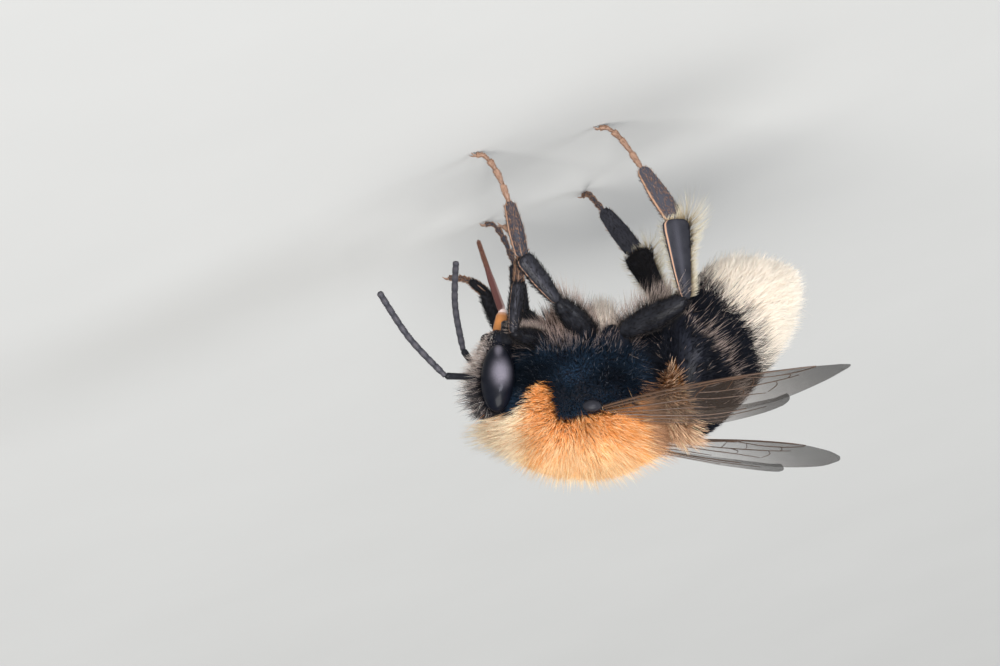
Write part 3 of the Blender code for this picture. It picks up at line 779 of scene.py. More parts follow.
def make_leg(name, joints, finish):
    """One leg with all its joints. Returns the sections of each, for the coat."""
    side, pair = name.split("_")
    outward = Vector((0, -1 if side == "right" else 1, 0))
    root, knee, ankle, heel, *toes = (Vector(joint) for joint in joints)
    bm = bmesh.new()
    rust = []

    def add(path, profile, low, high, steps=14, sides=20, edge=0.0, hollow=0.0, turned=0.0, painted_streak=0.0):
        """A joint, thin from low to high along it, by edge more at its front, with painted sheen in its
        middle and painted shade on its inner side.
        """
        made = limb_sections(path, profile, outward + Vector((-turned, 0, 0)), steps)
        for index, vert in enumerate(loft(bm, made, sides)):
            ring = index // sides
            share = ring / steps
            waist = math.sin(math.pi * share)
            local = made[ring].inverted() @ vert.co
            ahead = local.x * outward.y
            front = max(0.0, ahead * 0.87 + local.y * 0.5)**200
            # Painted shade: the side facing the body takes less of the thin colour and is darker.
            inner = 0.6 * min(1.0, max(0.0, -2 * local.y))
            # Painted sheen down the middle of the outer face, strongest halfway along.
            middle = painted_streak * hump(ahead, 0.1, 0.25) * (local.y > 0) * waist
            rust.append((low + (high - low) * share) * (1 - inner) + edge * front + middle)
            vert.co -= outward * hollow * max(0.0, local.y) * waist * MM
        return made

    # The hind shins are pollen baskets, flat and hollow outside.
    shin = dict(steps=24, sides=48, edge=0.6, painted_streak=0.3)
    toe_rust = (0.15, 0.4)
    if pair == "hind":
        shin.update(edge=1.0, hollow=0.12, turned=0.25)
        toe_rust = (0.42, 0.5)
    grown = {
        "thigh": add((root, knee), THIGH[pair], 0.0, 0.0),
        # The shin's thin colour, more towards the ankle, is a painted lilac-grey sheen.
        "shin": add((knee, ankle), SHIN[pair], 0.04, 0.16, **shin),
        "first_toe": add((ankle, heel), FIRST_TOE[pair], *toe_rust, 20, 24, 0.5),
    }
    path = [heel, *toes]
    last = len(path) - 1
    for index, (start, end) in enumerate(zip(TOE_ENDS, TOE_ENDS[1:])):
        piece = [between(path, (start + (end - start) * k / 3) * last) for k in range(4)]
        grown[f"toe_{index}"] = add(piece, LAST_TOE if index == 3 else TOE, 0.75, 0.9, 10, 14)
    tip = between(path, last)
    aim = tip - between(path, last - 0.2)
    across = aim.cross(Vector((0, 0, 1))).normalized()
    for sideways in (-1, 1):
        claw(bm, tip - aim.normalized() * 0.04, Vector((aim.x, aim.y, aim.z * 0.2)), across * sideways)
    for sideways in () if pair == "hind" else (-1, 1):
        spur_root = ankle + outward * 0.1 * sideways
        spur_end = spur_root + (heel - ankle).normalized() * 0.5 + outward * 0.12 * sideways
        loft(bm, limb_sections((spur_root, spur_end), SPUR, (1, 0, 0), 4), 8)
    rust.extend([0.8] * (len(bm.verts) - len(rust)))
    replaced = [f"{name}_{joint}" for joint in ("thigh", "shin", "first_toe", "toes")]
    add_piece(f"leg_{name}", bm, finish, "black_shell", replaced, rust=rust)
    return grown


def whip_profile():
    """The whip's half thickness, waisted between its joints."""
    rows = []
    for joint in range(WHIP_JOINTS):
        full = FEELER_RADIUS * (0.82 if joint == 0 else 1.0)
        start = joint / WHIP_JOINTS
        rows += [(start + share / WHIP_JOINTS, full * size) for share, size in WHIP_JOINT]
    rows[-1:] = [(share, FEELER_RADIUS * size) for share, size in WHIP_END]
    return [(share, half, half) for share, half in rows]


def make_feelers(finish):
    """Both feelers. Returns the sections of their whips, for the coat."""
    grown = []
    steps, sides = 150, 20
    for side, joints in FEELERS.items():
        socket, elbow, *whip = joints
        bm = bmesh.new()
        rust = [0.0] * len(loft(bm, limb_sections((socket, elbow), FEELER_ROOT, (0, 1, 0), 16), sides))
        sections = limb_sections((elbow, *whip), whip_profile(), (0, 1, 0), steps)
        for index in range(len(loft(bm, sections, sides))):
            share = eased(index // sides, steps)
            rust.append(0.28 + 0.3 * math.sin(math.pi * (share * WHIP_JOINTS % 1)))
        replaced = [f"feeler_{side}_first_joint", f"feeler_{side}_whip"]
        add_piece(f"feeler_{side}", bm, finish, "black_shell", replaced, rust=rust)
        grown.append(sections)
    return grown


def make_mouth(shell, rusty, amber):
    """Jaws, and the tongue: its base, the two blades of the sheath and the hairy tip."""
    mouth, joint, sheath_end, tip = (Vector(point) for point in TONGUE)
    side_face = (0, 1, 0)
    sides, fine_sides = 20, 16
    bm = bmesh.new()
    verts = loft(bm, limb_sections((mouth, joint), TONGUE_ROOT, side_face), sides)
    rust = [min(1.0, max(0.2, (index // sides) / 7 - 0.9)) for index in range(len(verts))]
    add_piece("tongue_root", bm, amber, "amber_shell", ["tongue_base"], rust=rust)

    bm = bmesh.new()
    rust = []
    for sign in (-1, 1):
        aside = Vector((0, 0.1 * sign, 0))
        outer = (joint + aside, sheath_end + aside * 0.7)
        inner = (joint + aside * 0.4, sheath_end + aside * 0.3 + Vector((-0.08, 0, -0.3)))
        for path, profile in ((outer, TONGUE_BLADE), (inner, TONGUE_FEATHER)):
            made = limb_sections(path, profile, side_face, 20)
            for index, vert in enumerate(loft(bm, made, fine_sides)):
                ring = index // fine_sides
                # Lighter near the joint, and a painted highlight down the rear side of each blade.
                rear = max(0.0, -(made[ring].inverted() @ vert.co).x)
                rust.append(0.42 + 0.5 * max(0.0, 1 - ring / 5) + 0.4 * rear * (1 - index / 400))
    # The ball at the joint is a painted highlight, all in the pale edge colour.
    rust += [1.0] * len(ball(bm, joint, (0.2, 0.19, 0.18), rings=10))
    add_piece("tongue_blades", bm, rusty, "rust_shell", ["tongue_sheath"], rust=rust)

    bm = bmesh.new()
    tongue = limb_sections((sheath_end + Vector((0, 0, 0.6)), tip), TONGUE_TIP, side_face, 24)
    rust = [0.5] * len(loft(bm, tongue, fine_sides))
    add_piece("tongue_hairy_tip", bm, rusty, "rust_shell", ["tongue_tip"], rust=rust)

    for side, path in (("right", RIGHT_JAW), ("left", [mirrored(point) for point in RIGHT_JAW])):
        bm = bmesh.new()
        steps = 18
        verts = loft(bm, limb_sections(path, JAW, side_face, steps), sides)
        rust = [max(0.0, (index // sides) / steps - 0.75) for index in range(len(verts))]
        add_piece(f"biting_jaw_{side}", bm, shell, "rust_shell", [f"jaw_{side}"], rust=rust)
    return tongue


# Wings

def wing_frame(wing, along):
    """A wing's root, its direction outwards, its chord in towards the back and its upward normal there."""
    root, tip, tip_tilt = Vector(wing[0]), Vector(wing[1]), wing[2]
    span = (tip - root).normalized()
    tilt = math.radians(WING_ROOT_TILT + (tip_tilt - WING_ROOT_TILT) * along / FOREWING_LENGTH)
    outer_side = math.copysign(1, root.y)
    inward = Vector((0, -outer_side * math.cos(tilt), math.sin(tilt)))
    chord = (inward - span * inward.dot(span)).normalized()
    return root, span, chord, span.cross(chord)


def wing_point(wing, along, across):
    root, span, chord, _ = wing_frame(wing, along)
    return root + span * along + chord * across


def wing_section(wing, along, front, rear):
    """A thin flat section across a wing, from front to rear edge."""
    _, _, chord, normal = wing_frame(wing, along)
    half = (rear - front) / 2
    return section(wing_point(wing, along, (front + rear) / 2), chord * half, normal * MEMBRANE / 2)


def rear_edge(along):
    """Where a forewing's rear edge is, that far along its front line."""
    rows = [(share, rear) for share, _, rear in FOREWING_EDGES]
    return between_shares(rows, along / FOREWING_LENGTH)[0] * FOREWING_LENGTH


def vein(bm, points, half):
    """A vein: a thin tube through points, which tapers a little."""
    profile = ((0, half * 0.8, half * 0.7), (0.5, half, half * 0.8), (1, half * 0.6, half * 0.5))
    loft(bm, limb_sections(points, profile, (0, 0, 1), 16), 6)


def make_wings(membrane, veins):
    steps, sides = 60, 12
    for side, wing in WINGS.items():
        fore = [row * FOREWING_LENGTH for row in evenly(FOREWING_EDGES, steps)]
        hind = []
        for along, width in (row * HINDWING_LENGTH for row in evenly(HINDWING_WIDTHS, steps)):
            front = rear_edge(along) - WING_OVERLAP
            hind.append((along, front, front + width + WING_OVERLAP))
        for name, rows in (("forewing", fore), ("hindwing", hind)):
            bm = bmesh.new()
            loft(bm, [wing_section(wing, *row) for row in rows], sides)
            longest = max(row[0] for row in rows)
            smoke = [step_up(row[0] / longest, 0.3, 1.0) for row in rows for _ in range(sides)]
            replaced = [f"{name}_{side}"]
            add_piece(f"{name}_membrane_{side}", bm, membrane, "wing_membrane", replaced, smoke=smoke)
        bm = bmesh.new()
        for half, shares in FOREWING_VEINS:
            vein(bm, [wing_point(wing, a * FOREWING_LENGTH, b * FOREWING_LENGTH) for a, b in shares], half)
        for half, end, share in HINDWING_VEINS:
            points = []
            for k in range(7):
                along = HINDWING_LENGTH * (0.04 + (end - 0.04) * k / 6)
                width = between_shares(HINDWING_WIDTHS, along / HINDWING_LENGTH)[0] * HINDWING_LENGTH
                points.append(wing_point(wing, along, rear_edge(along) + width * share))
            vein(bm, points, half)
        add_piece(f"wing_veins_{side}", bm, veins, "wing_membrane")


def make_tegulae(finish):
    """The caps over the wing roots."""
    for side, centre in (("right", mirrored(TEGULA_AT)), ("left", TEGULA_AT)):
        bm = bmesh.new()
        rust = [0.1] * len(ball(bm, centre, TEGULA_HALF, lean()))
        add_piece(f"wing_cap_{side}", bm, finish, "black_shell", [f"tegula_{side}"], rust=rust)


# Coat

class Coat:
    """Gathers hairs by the kind of coat they belong to, then makes them meshes."""

    def __init__(self):
        self.kinds = {}

    def grow(self, kind, chosen, roots, lie, lengths, places, hue, radius=HAIR_RADIUS):
        """Adds the chosen ones of these hairs, whose lie and hue go from the root to the tip."""
        rows = [array[chosen] for array in (roots, *lie, lengths, places, *hue)]
        self.kinds.setdefault(kind, []).append([*rows, np.full(len(rows[0]), radius)])

    def make(self):
        for kind, groups in self.kinds.items():
            whole = [np.concatenate(parts) for parts in zip(*groups)]
            pieces = math.ceil(len(whole[0]) / MOST_HAIRS)
            for index in range(pieces):
                name = f"coat_{kind}" if pieces == 1 else f"coat_{kind}_{index + 1}"
                mesh = hair_mesh(name, *(array[index::pieces] for array in whole))
                add_mesh(name, mesh, coat_finish(name))


def unit(vectors):
    return vectors / np.maximum(np.linalg.norm(vectors, axis=1, keepdims=True), 1e-9)


def hair_mesh(name, roots, aims, bends, lengths, uv, low, high, radius):
    """Closed three-sided hairs that taper from root to tip, each with one bend and a patch on the unwrap."""
    count = len(roots)
    side = unit(np.cross(aims, np.array((0.31, 0.17, 0.93))))
    other = np.cross(aims, side)
    rings = []
    middle = roots + aims * lengths[:, None] * 0.5
    for centre, share in ((roots, 1.0), (middle, 0.75)):
        for turn in (0, 2 * math.pi / 3, 4 * math.pi / 3):
            out = side * math.cos(turn) + other * math.sin(turn)
            rings.append(centre + out * (radius * share)[:, None])
    rings.append(middle + bends * lengths[:, None] * 0.5)
    points = np.stack(rings, axis=1).reshape(-1, 3) * MM

    corners = [(0, 2, 1)]
    for k in range(3):
        after = (k + 1) % 3
        corners += [(k, after, 3 + after), (k, 3 + after, 3 + k), (3 + k, 3 + after, 6)]
    corners = np.array(corners)
    faces = (corners[None] + 7 * np.arange(count)[:, None, None]).reshape(-1)

    mesh = bpy.data.meshes.new(name)
    mesh.vertices.add(len(points))
    mesh.vertices.foreach_set("co", points.astype(np.float32).ravel())
    mesh.loops.add(len(faces))
    mesh.loops.foreach_set("vertex_index", faces.astype(np.int32))
    mesh.polygons.add(len(faces) // 3)
    mesh.polygons.foreach_set("loop_start", np.arange(0, len(faces), 3, dtype=np.int32))
    mesh.update()

    spots = np.array([(0, 0), (1, 0), (0.5, 0), (0, 0.6), (1, 0.6), (0.5, 0.6), (0.5, 1)]) * PATCH
    places = np.clip(uv, 0.0, 1 - PATCH)[:, None] + spots[None]
    layer = mesh.uv_layers.new(name="OFBake")
    layer.data.foreach_set("uv", places.reshape(-1, 2)[faces].astype(np.float32).ravel())

    tones = np.stack([low] * 3 + [low * 0.5 + high * 0.5] * 3 + [high], axis=1).reshape(-1, 3)
    colour = mesh.color_attributes.new("hair", "FLOAT_COLOR", "POINT")
    colour.data.foreach_set("color", np.column_stack([tones, np.ones(len(tones))]).astype(np.float32).ravel())
    return mesh


def grid_of(sections, sides):
    """Points in millimetres on a grid of sections by sides, closed round."""
    turns = np.linspace(0, 2 * math.pi, sides + 1)
    circle = np.stack([np.cos(turns), np.sin(turns), np.zeros_like(turns), np.ones_like(turns)])
    return np.stack([(np.array(matrix) @ circle)[:3].T for matrix in sections]) / MM


def scatter(sections, count, rng, density, sides=48):
    """Random roots over a swept surface: points, outward normals, ways along it and places on its unwrap.

    density takes points, normals and places, and says how thickly hairs grow there, from 0 to 1.
    """
    grid = grid_of(sections, sides)
    corner, ahead, beside = grid[:-1, :-1], grid[1:, :-1] - grid[:-1, :-1], grid[:-1, 1:] - grid[:-1, :-1]
    area = np.linalg.norm(np.cross(ahead, beside), axis=2).ravel()
    rows, columns = corner.shape[:2]
    pick = rng.choice(len(area), size=3 * count, p=area / area.sum())
    i, j = pick // columns, pick % columns
    s, t = rng.random(len(pick)), rng.random(len(pick))
    near = grid[i, j] * (1 - t)[:, None] + grid[i, j + 1] * t[:, None]
    far = grid[i + 1, j] * (1 - t)[:, None] + grid[i + 1, j + 1] * t[:, None]
    points = near * (1 - s)[:, None] + far * s[:, None]
    along = unit(far - near)
    normals = unit(np.cross(along, grid[i, j + 1] - grid[i, j]))
    centres = grid.mean(axis=1)
    outward = points - (centres[i] * (1 - s)[:, None] + centres[i + 1] * s[:, None])
    normals *= np.sign(np.sum(normals * outward, axis=1))[:, None]
    places = np.column_stack([(j + t) / columns, (i + s) / rows])
    keep = np.flatnonzero(rng.random(len(pick)) < density(points, normals, places))[:count]
    return points[keep], normals[keep], along[keep], places[keep]


def reach(roots, aims, sections, most):
    """How far each hair can grow along its aim before it leaves the outline through these sections."""
    matrices = np.array(sections) / MM
    turned = np.linalg.inv(np.concatenate([matrices[:, :3], [[[0, 0, 0, 1]]] * len(matrices)], axis=1))
    low, high = np.zeros(len(roots)), np.full(len(roots), most)
    pick = np.arange(len(roots))
    for _ in range(9):
        middle = (low + high) / 2
        tips = np.column_stack([roots + aims * middle[:, None], np.ones(len(roots))])
        local = np.einsum("kij,nj->kni", turned[:, :3], tips)
        radius = np.hypot(local[..., 0], local[..., 1])
        beyond = local[..., 2] > 0
        index = np.clip(beyond.sum(axis=0) - 1, 0, len(matrices) - 2)
        before, after = local[index, pick, 2], local[index + 1, pick, 2]
        share = np.clip(before / np.maximum(before - after, 1e-6), 0, 1)
        size = radius[index, pick] * (1 - share) + radius[index + 1, pick] * share
        inside = (size < 1) & (local[0, pick, 2] > 0) & (local[-1, pick, 2] < 0)
        low, high = np.where(inside, middle, low), np.where(inside, high, middle)
    return low


def waves(points, size, seed):
    """A smooth random direction at each point, which changes over about this many millimetres."""
    rng = np.random.default_rng(seed)
    total = np.zeros_like(points)
    for _ in range(6):
        direction = rng.normal(size=3)
        direction *= 2 * math.pi / size / np.linalg.norm(direction)
        total += np.sin(points @ direction + rng.uniform(0, 6.28))[:, None] * rng.normal(size=3)
    return total / 3


def locks(points, tips, size):
    """The middle of each hair's small lock, of tips about this many millimetres across."""
    cell = np.floor(points / size + waves(points, size * 4, 5) * 0.6).astype(int)
    _, group = np.unique(cell, axis=0, return_inverse=True)
    group = group.ravel()
    members = np.bincount(group)
    return np.column_stack([np.bincount(group, tips[:, k]) / members for k in range(3)])[group]


def comb(points, normals, flow, lift, length, rng, ruffle=0.25, gather=0.35, lock=0.3):
    """First and last directions of hairs that stand up by lift, follow the flow and gather in locks."""
    lift = np.broadcast_to(lift, len(points))[:, None]
    aims = unit(normals * lift + flow * (1 - lift) + waves(points, 1.1, 3) * ruffle * 0.5
                + rng.normal(size=points.shape) * ruffle * 0.5)
    aims = unit(aims + normals * np.clip(0.12 - np.sum(aims * normals, axis=1), 0, None)[:, None])
    drawn = locks(points, points + aims * np.reshape(length, (-1, 1)), lock)
    return np.stack([aims, unit(aims + unit(drawn - points) * gather + flow * 0.25)])


def shades(root, tip, count, rng, spread=0.22):
    """Root and tip colours for each hair, some lighter and some darker."""
    tone = np.exp(rng.normal(0, spread, count))[:, None]
    return np.clip(np.stack([np.broadcast_to(colour, (count, 3)) for colour in (root, tip)]) * tone, 0, 1)


def blend(first, second, shares):
    """Colours between two, one for each share."""
    return np.array(first) * (1 - shares[:, None]) + np.array(second) * shares[:, None]


def clear_of_legs(points, normals):
    """How free the hair over each point is of the thighs and wing roots, from 0 to 1."""
    above = points + normals * 0.3
    free = np.ones(len(above))
    for joints in LEGS.values():
        a, b = np.array(joints[0]), np.array(joints[1])
        share = np.clip(((above - a) @ (b - a)) / np.dot(b - a, b - a), 0, 1)[:, None]
        free *= step_up(np.linalg.norm(above - (a + (b - a) * share), axis=1), *THIGH_ROOM)
    for centre in (TEGULA_AT, mirrored(TEGULA_AT)):
        free *= step_up(np.linalg.norm(above - np.array(centre), axis=1), *TEGULA_ROOM)
    return free


def uneven(count, rng, low, high, long_share=0.08, longest=1.3):
    """Lengths of hairs as shares of the full depth, with a few that stand out beyond the rest."""
    share = rng.uniform(low, high, count)
    return np.where(rng.random(count) < long_share, rng.uniform(high, longest, count), share)


def in_tuft(points):
    return np.linalg.norm((points - np.array(PALE_TUFT_AT)) / PALE_TUFT_HALF, axis=1) < 1


def grow_thorax(coat, rng):
    """Deep plush ginger over the back, short black at the sides, and sparse pale-tipped hair below."""
    def density(points, normals, places):
        up = in_frame(points, THORAX_AT)[2]
        thick = 0.7 + 0.3 * step_up(up, 0.6, 1.4) - 0.35 * step_up(-up, 0.6, 1.8)
        return np.where(in_tuft(points), 1.0, thick * clear_of_legs(points, normals))

    points, normals, along, places = scatter(thorax_sections(), HAIRS["thorax"], rng, density)
    count = len(points)
    forward, left, up = in_frame(points, THORAX_AT)
    below = step_up(-up, 0.9, 2.1)
    rear = step_up(-forward, 1.9, 2.7) * (1 - step_up(up, -0.2, 0.6))
    collar = step_up(forward, 1.7, 2.6) * step_up(up, 0.2, 0.9)
    lobe = step_up(np.abs(left), 1.2, 1.8) * (1 - step_up(up, 1.2, 1.8))
    # Hair flows back from the shoulders and forward over the collar, and stands up on the back and below.
    flow = along * (np.clip((forward - 0.9) / 1.5, -1, 1) * (1 - 0.9 * lobe))[:, None]
    lift = 0.45 + 0.4 * np.maximum(below, step_up(up, 0.2, 0.7))
    lie = comb(points, normals, flow, lift, 1.0, rng, ruffle=0.3, gather=0.22)
    outline = thorax_sections(THORAX_COAT, 24)
    full = np.minimum(reach(points, lie[0], outline, 2.2), 0.1 + 1.4 * reach(points, normals, outline, 2.0))
    ginger = ginger_on_thorax(points + lie[0] * full[:, None] + rng.normal(size=points.shape) * 0.06) > 0.5
    lengths = uneven(count, rng, 0.78, 0.97, 0.1, 1.5)
    lengths = np.where(lobe > 0.3, np.minimum(lengths, 0.95), lengths)
    lengths = np.where((collar > 0.3) & (rng.random(count) < 0.5), rng.uniform(0.35, 1.4, count), lengths)
    short = np.minimum(full, 0.42 + 1.1 * np.maximum(below, rear)) * uneven(count, rng, 0.5, 1.0)
    length = np.where(ginger, full * lengths, short)

    # The ginger is palest on the collar, paler on the crest and in patches, and rusty at the rear.
    hue = shades(*HUES["ginger"], count, rng, 0.14)
    pale = [blend(back, neck, collar) for back, neck in zip(HUES["pale_ginger"], HUES["collar"])]
    pale = shades(*pale, count, rng, 0.14)
    crest = 0.5 * step_up(up, 1.8, 2.8) * (1 - step_up(np.abs(forward), 1.2, 2.2))
    light = rng.random(count) < 0.12 + crest + 0.75 * collar + 0.6 * (length > full * 1.02)
    hue = np.where(light[:, None], pale, hue) * (1 + 0.16 * waves(points, 1.6, 21)[:, :1])
    root, tip = hue
    hue = np.stack([root, np.clip(tip, 0, 1)])
    rusty = step_up(-forward, 2.1, 2.5) * (1 - step_up(up, 1.9, 2.5))
    hue = hue + (shades(*HUES["rusty"], count, rng, 0.25) - hue) * rusty[:, None]

    # The black has a painted bluish sheen in patches and a painted sheen patch on each side, and pale tips
    # below and above the thighs.
    painted_sheen = np.clip(1 + 1.3 * waves(points, 2.4, 12)[:, :1], 0.3, 3.0)
    off = (np.column_stack([points[:, 0], -np.abs(points[:, 1]), points[:, 2]]) - PAINTED_SHEEN_AT) / PAINTED_SHEEN_HALF
    painted_sheen = painted_sheen + 3.5 * np.exp(-np.sum(off**2, axis=1))[:, None]
    dark_root, dark_tip = HUES["blue_black"]
    dark = shades(dark_root, np.array(dark_tip) * painted_sheen, count, rng)
    tip_root, high_tip, low_tip = HUES["pale_tipped"]
    tips = shades(tip_root, blend(high_tip, low_tip, below), count, rng)
    tipped = rng.random(count) < 0.03 + 0.35 * below + 0.5 * hump(forward, 0.7, 0.9) * step_up(-up, 1.0, 1.6)
    dark = np.where(tipped[:, None], tips, dark)
    white = shades(*HUES["white_tuft"], count, rng, 0.2)

    tuft = in_tuft(points)
    stream = unit(np.array((-0.25, -0.25, -0.95)) + rng.normal(size=points.shape) * 0.12)
    lie = np.where(tuft[:, None], stream, lie)
    length = np.where(tuft, rng.uniform(1.1, 1.9, count), length)
    coat.grow("ginger_back", ginger, points, lie, length, places, hue)
    coat.grow("black_sides", ~ginger & ~tuft, points, lie, length, places, dark)
    coat.grow("pale_tuft", ~ginger & tuft, points, lie, length, places, white)


def grow_abdomen(coat, rng):
    """A ginger-brown waist, shiny black bands with short hair, then a thick white tail."""
    def density(points, normals, places):
        place = places[:, 1] * SKIN_END
        short = step_up(place, 1.3, 1.6) * (1 - step_up(place, 2.9, 4.0))
        bare = step_up(place, 1.5, 1.7) * (1 - step_up(place, 2.1, 2.4))
        thin = (0.65 * short + 0.25 * bare) * (1 - ginger_on_waist(points + normals * 0.5))
        return (1 - thin) * clear_of_legs(points, normals)

    points, normals, along, places = scatter(abdomen_sections(), HAIRS["abdomen"], rng, density)
    count = len(points)
    place = places[:, 1] * SKIN_END
    ahead = section(WAIST_AT, (0, -WAIST_RADIUS, 0), (0, 0, WAIST_RADIUS))
    outline = [ahead, *abdomen_sections(0.0, 24, len(ABDOMEN) - 1)[3:]]
    depth = reach(points, normals, outline, 1.3)
    outer = points + normals * depth[:, None] + rng.normal(size=points.shape) * 0.08
    white = white_on_tail(outer + along * 0.3) > 0.5
    ginger = (ginger_on_waist(outer) > 0.5) & ~white
    lift = np.where(white, 0.72, np.where(ginger, 0.7, 0.42))
    lift = lift + (0.97 - lift) * (1 - step_up(place, 0.7, 1.3))
    ruffle, gather = (np.where(white, tail, rest)[:, None] for tail, rest in ((0.45, 0.25), (0.2, 0.35)))
    lie = comb(points, normals, along, lift, 1.0, rng, ruffle, gather)
    deep, even = uneven(count, rng, 0.7, 1.0, 0.16, 1.4), uneven(count, rng, 0.6, 1.05, 0.12)
    length = reach(points, lie[0], outline, 1.6) * np.where(white | ginger, deep, even)
    # Some long hairs of the waist are swept back.
    spiky = ginger & (rng.random(count) < 0.25) & (place > 0.8)
    length = np.where(spiky, rng.uniform(0.7, 1.25, count), length)
    lie = np.where(spiky[:, None], unit(normals * 0.4 + along), lie)

    # Pale-tipped hairs make a thin band on the black, and mix into it before the tail.
    dark = shades(*HUES["black"], count, rng)
    grey = shades(*HUES["grey_tipped"], count, rng)
    band = hump(points[:, 0] - edge_at(PALE_BAND, points[:, 2]), 0, 0.2)
    mixed = hump(points[:, 0] - edge_at(WHITE_EDGE, points[:, 2]), 0.45, 0.3)
    pale = rng.random(count) < 0.85 * band + 0.2 * step_up(place, 3.2, 3.9) + 0.45 * mixed + 0.03
    dark = np.where(pale[:, None], grey, dark)
    back = step_up(points[:, 2], 12.0, 13.2)
    light = spiky | (rng.random(count) < 0.15 * back)
    brown_root, brown_tip, light_tip = HUES["waist"]
    brown = shades(brown_root, np.where(light[:, None], light_tip, brown_tip), count, rng, 0.3)
    cream = shades(*HUES["cream"], count, rng, 0.04)
    coat.grow("ginger_waist", ginger, points, lie, length, places, brown)
    coat.grow("black_bands", ~ginger & ~white, points, lie, length, places, dark)
    coat.grow("white_tail", white, points, lie, length, places, cream)


def grow_head(coat, rng):
    """Erect hair on the face, cheeks and crown, none on the eyes or the shield above the mouth."""
    def from_eye(x, z, half_thickness, half_height):
        return ((x - EYE_AT[0]) / half_thickness) ** 2 + ((z - EYE_AT[2]) / half_height) ** 2

    def density(points, normals, places):
        x, y, z = in_frame(points, HEAD_AT)
        off_eyes = np.where(np.abs(y) > 0.9, step_up(from_eye(x, z, 0.72, 1.5), 0.95, 1.1), 1.0)
        front = step_up(x, 0.0, 0.3)
        shield = hump(y, 0, 0.55) * hump(z, -1.1, 0.5) * front
        return off_eyes * (1 - 0.85 * shield) * (0.4 + 0.6 * front)

    points, normals, along, places = scatter(head_sections(), HAIRS["head"], rng, density)
    count = len(points)
    x, y, z = in_frame(points, HEAD_AT)
    front = step_up(x, 0.1, 0.6)
    lie = comb(points, normals, along * 0.2, 0.88, 1.0, rng, ruffle=0.6, gather=0.15)
    full = np.minimum(reach(points, lie[0], head_sections(HEAD_COAT, 16), 1.3), 0.35 + 0.85 * front)
    length = full * uneven(count, rng, 0.25, 0.75, 0.3, 1.5)
    mouth = step_up(-z, -1.0, 0.9)
    light = rng.random(count) < 0.12 + 0.9 * mouth * front + 0.2 * (length > full)
    dark = shades(*HUES["face"], count, rng)
    hue = np.where(light[:, None], shades(*HUES["pale_face"], count, rng), dark)
    over_eye = np.zeros(count, bool)
    for share in (0.5, 0.75, 1.0):
        x, y, z = in_frame(points + (lie[0] + lie[1]) / 2 * (length * share)[:, None], HEAD_AT)
        over_eye |= (from_eye(x, z, 0.68, 1.48) < 1) & (np.abs(y) > 0.95)
    coat.grow("face", ~over_eye, points, lie, length, places, hue, FACE_HAIR_RADIUS)


def own_cell(places, index, across):
    """Places on an unwrap that many cells across, each holding the unwrap of one joint."""
    corner = np.array((index % across, index // across))
    return (places * (1 - 2 * CELL_MARGIN) + CELL_MARGIN + corner) / across


def near_edge(facing):
    """How close to the edges of a leg's outline hair grows, 0 to 1, from how far it faces outwards."""
    return 1 - step_up(np.abs(facing), 0.35, 0.75)


def grow_legs(coat, legs, rng):
    """Short bristles on the legs, long fringes round the pollen baskets and below the thighs."""
    for name, grown in legs.items():
        side, pair = name.split("_")
        outward = np.array((0, -1.0 if side == "right" else 1.0, 0))
        for number, (part, sections) in enumerate(grown.items()):
            basket = part == "shin" and pair == "hind"
            share, size = LEG_HAIR.get(part, SMALL_TOE_HAIR)
            most = int(HAIRS["legs"] / 6 * share * (3 if basket else 1))

            def density(points, normals, places):
                facing = normals @ outward
                edge = near_edge(facing)
                if not basket:
                    return 0.6 + 0.4 * edge
                edge = edge * (0.25 + 0.75 * (normals[:, 0] < 0))
                inner = 0.5 * step_up(-facing, 0.3, 0.8)
                return np.clip(edge * 1.2 + inner, 0, 1) * step_up(places[:, 1], 0.1, 0.3)

            points, normals, along, places = scatter(sections, most, rng, density, sides=20)
            count = len(points)
            facing = normals @ outward
            length = size * rng.uniform(0.6, 1.2, count)
            fringe = np.zeros(count, bool)
            if basket:
                rear = step_up(-normals[:, 0], 0.2, 0.7)
                long = 0.2 + 1.4 * rear * step_up(places[:, 1], 0.45, 0.9)
                length = length + near_edge(facing) * long * rng.uniform(0.6, 1.1, count)
                fringe = near_edge(facing) > 0.3
            elif part == "thigh":
                long = (0.35 if pair == "front" else 1.1) * step_up(-normals[:, 2], 0.3, 0.8)
                length = length + long * rng.uniform(0.2, 1.0, count)
                fringe = -normals[:, 2] > 0.4
            lift = np.where(fringe, 0.7, 0.3 if part.startswith("toe") else 0.4)
            lie = comb(points, normals, along, lift, length, rng, ruffle=0.2, gather=0.2, lock=0.15)
            kinds = ("bristles", "basket_fringe", "toe_hair", "thigh_fringe")
            dark, basket_fringe, gold, thigh_fringe = (shades(*HUES[kind], count, rng) for kind in kinds)
            golden = facing > -0.3 if part == "first_toe" else np.full(count, "toe" in part)
            hue = np.where(golden[:, None], gold, dark)
            hue = np.where(fringe[:, None], thigh_fringe if part == "thigh" else basket_fringe, hue)
            off_floor = points[:, 2] + np.minimum(lie[0, :, 2], lie[1, :, 2]) * length > FLOOR_GAP
            own = own_cell(places, len(grown) * PAIRS.index(pair) + number, LEG_CELLS)
            coat.grow(f"{side}_legs", off_floor, points, lie, length, own, hue, LEG_HAIR_RADIUS)


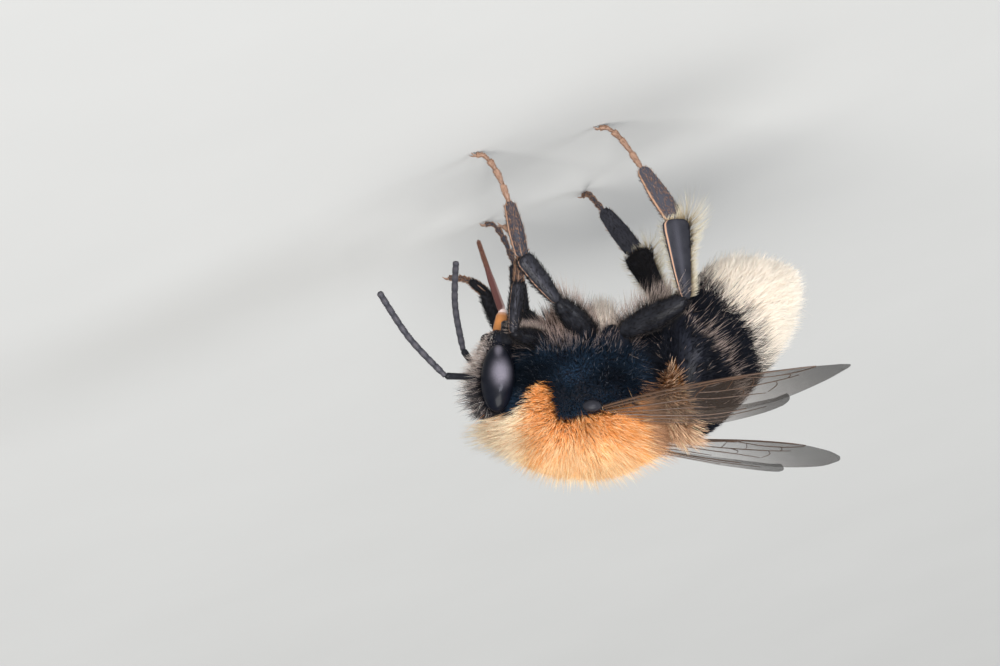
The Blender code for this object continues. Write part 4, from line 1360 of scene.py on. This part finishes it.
def grow_fine(coat, feelers, tongue, rng):
    """Down on the feelers and the brush of the tongue."""
    def everywhere(points, normals, places):
        return np.ones(len(points))

    for index, sections in enumerate((*feelers, tongue)):
        kind, size = ("tongue_brush", 0.14) if sections is tongue else ("feeler_down", 0.05)
        points, normals, along, places = scatter(sections, FINE_HAIRS, rng, everywhere, sides=20)
        count = len(points)
        length = rng.uniform(0.6, 1.0, count) * size
        lie = comb(points, normals, along, 0.35, length, rng, ruffle=0.1, gather=0.0)
        hue = shades(*HUES[kind], count, rng)
        own = own_cell(places, index, FINE_CELLS)
        coat.grow("down", np.ones(count, bool), points, lie, length, own, hue, DOWN_RADIUS)


# Stage

def make_stage():
    """A pale floor, soft lights, and a camera that looks at the right side, nearly upside down."""
    floor_finish = Finish("pale_floor", Roughness=1.0, Specular_IOR_Level=0.1)
    cloud = floor_finish.noise(12.0)
    floor_finish.set("Base Color", floor_finish.mix(cloud, (0.5, 0.505, 0.5), (0.53, 0.535, 0.53)))
    bm = bmesh.new()
    bmesh.ops.create_grid(bm, x_segments=1, y_segments=1, size=FLOOR_HALF)
    floor = add_object("floor", mesh_of("floor", bm))
    floor.data.materials.append(floor_finish.material)

    world = bpy.data.worlds.new("studio")
    world.use_nodes = True
    background = world.node_tree.nodes["Background"].inputs
    background["Color"].default_value = (*SKY, 1.0)
    background["Strength"].default_value = SKY_STRENGTH
    bpy.context.scene.world = world
    for name, (place, size, energy, tint) in LIGHTS.items():
        lamp = bpy.data.lights.new(name, "AREA")
        lamp.shape = "RECTANGLE"
        lamp.size, lamp.size_y = size[0] * MM, size[1] * MM
        lamp.energy = energy
        lamp.color = tint
        light = add_object(name, lamp)
        light.location = mm(place)
        light.rotation_euler = (mm(LIT_AT) - mm(place)).to_track_quat("-Z", "Y").to_euler()

    turn, rise = math.radians(CAMERA_TURN), math.radians(CAMERA_RISE)
    back = Vector((math.sin(turn) * math.cos(rise), -math.cos(turn) * math.cos(rise), math.sin(rise)))
    lens = bpy.data.cameras.new("camera")
    lens.sensor_width = SENSOR_WIDTH
    lens.lens = SENSOR_WIDTH * CAMERA_DISTANCE / VIEW_WIDTH
    lens.clip_start = 0.01
    lens.clip_end = 20.0
    camera = add_object("camera", lens)
    roll = Matrix.Rotation(math.radians(CAMERA_ROLL), 4, "Z").to_quaternion()
    camera.rotation_mode = "QUATERNION"
    camera.rotation_quaternion = (-back).to_track_quat("-Z", "Y") @ roll
    camera.location = mm(VIEW_CENTRE) + back * CAMERA_DISTANCE * MM
    bpy.context.scene.camera = camera
    bpy.context.scene.view_settings.view_transform = "Standard"


def main():
    # The black shell's lilac-grey thin colour is partly its own colour and partly painted sheen.
    black = shell_finish("black_shell", BLACK, (0.052, 0.052, 0.064), (0.38, 0.23, 0.15), 0.28, 1.0)
    grey = shell_finish("feeler_shell", BLACK, (0.05, 0.05, 0.06), (0.16, 0.14, 0.14), 0.35, 1.0)
    rust = shell_finish("rust_shell", (0.05, 0.022, 0.02), (0.085, 0.036, 0.032), (0.62, 0.5, 0.47), 0.3)
    amber = shell_finish("amber_shell", (0.42, 0.17, 0.05), (0.4, 0.17, 0.06), (0.62, 0.46, 0.4), 0.3)
    make_skin(skin_finish())
    make_eyes(eye_finish())
    legs = {name: make_leg(name, joints, black) for name, joints in LEGS.items()}
    feelers = make_feelers(grey)
    tongue = make_mouth(black, rust, amber)
    make_tegulae(black)
    make_wings(membrane_finish(), vein_finish())

    rng = np.random.default_rng(SEED)
    coat = Coat()
    grow_thorax(coat, rng)
    grow_abdomen(coat, rng)
    grow_head(coat, rng)
    grow_legs(coat, legs, rng)
    grow_fine(coat, feelers, tongue, rng)
    coat.make()
    make_stage()


main()
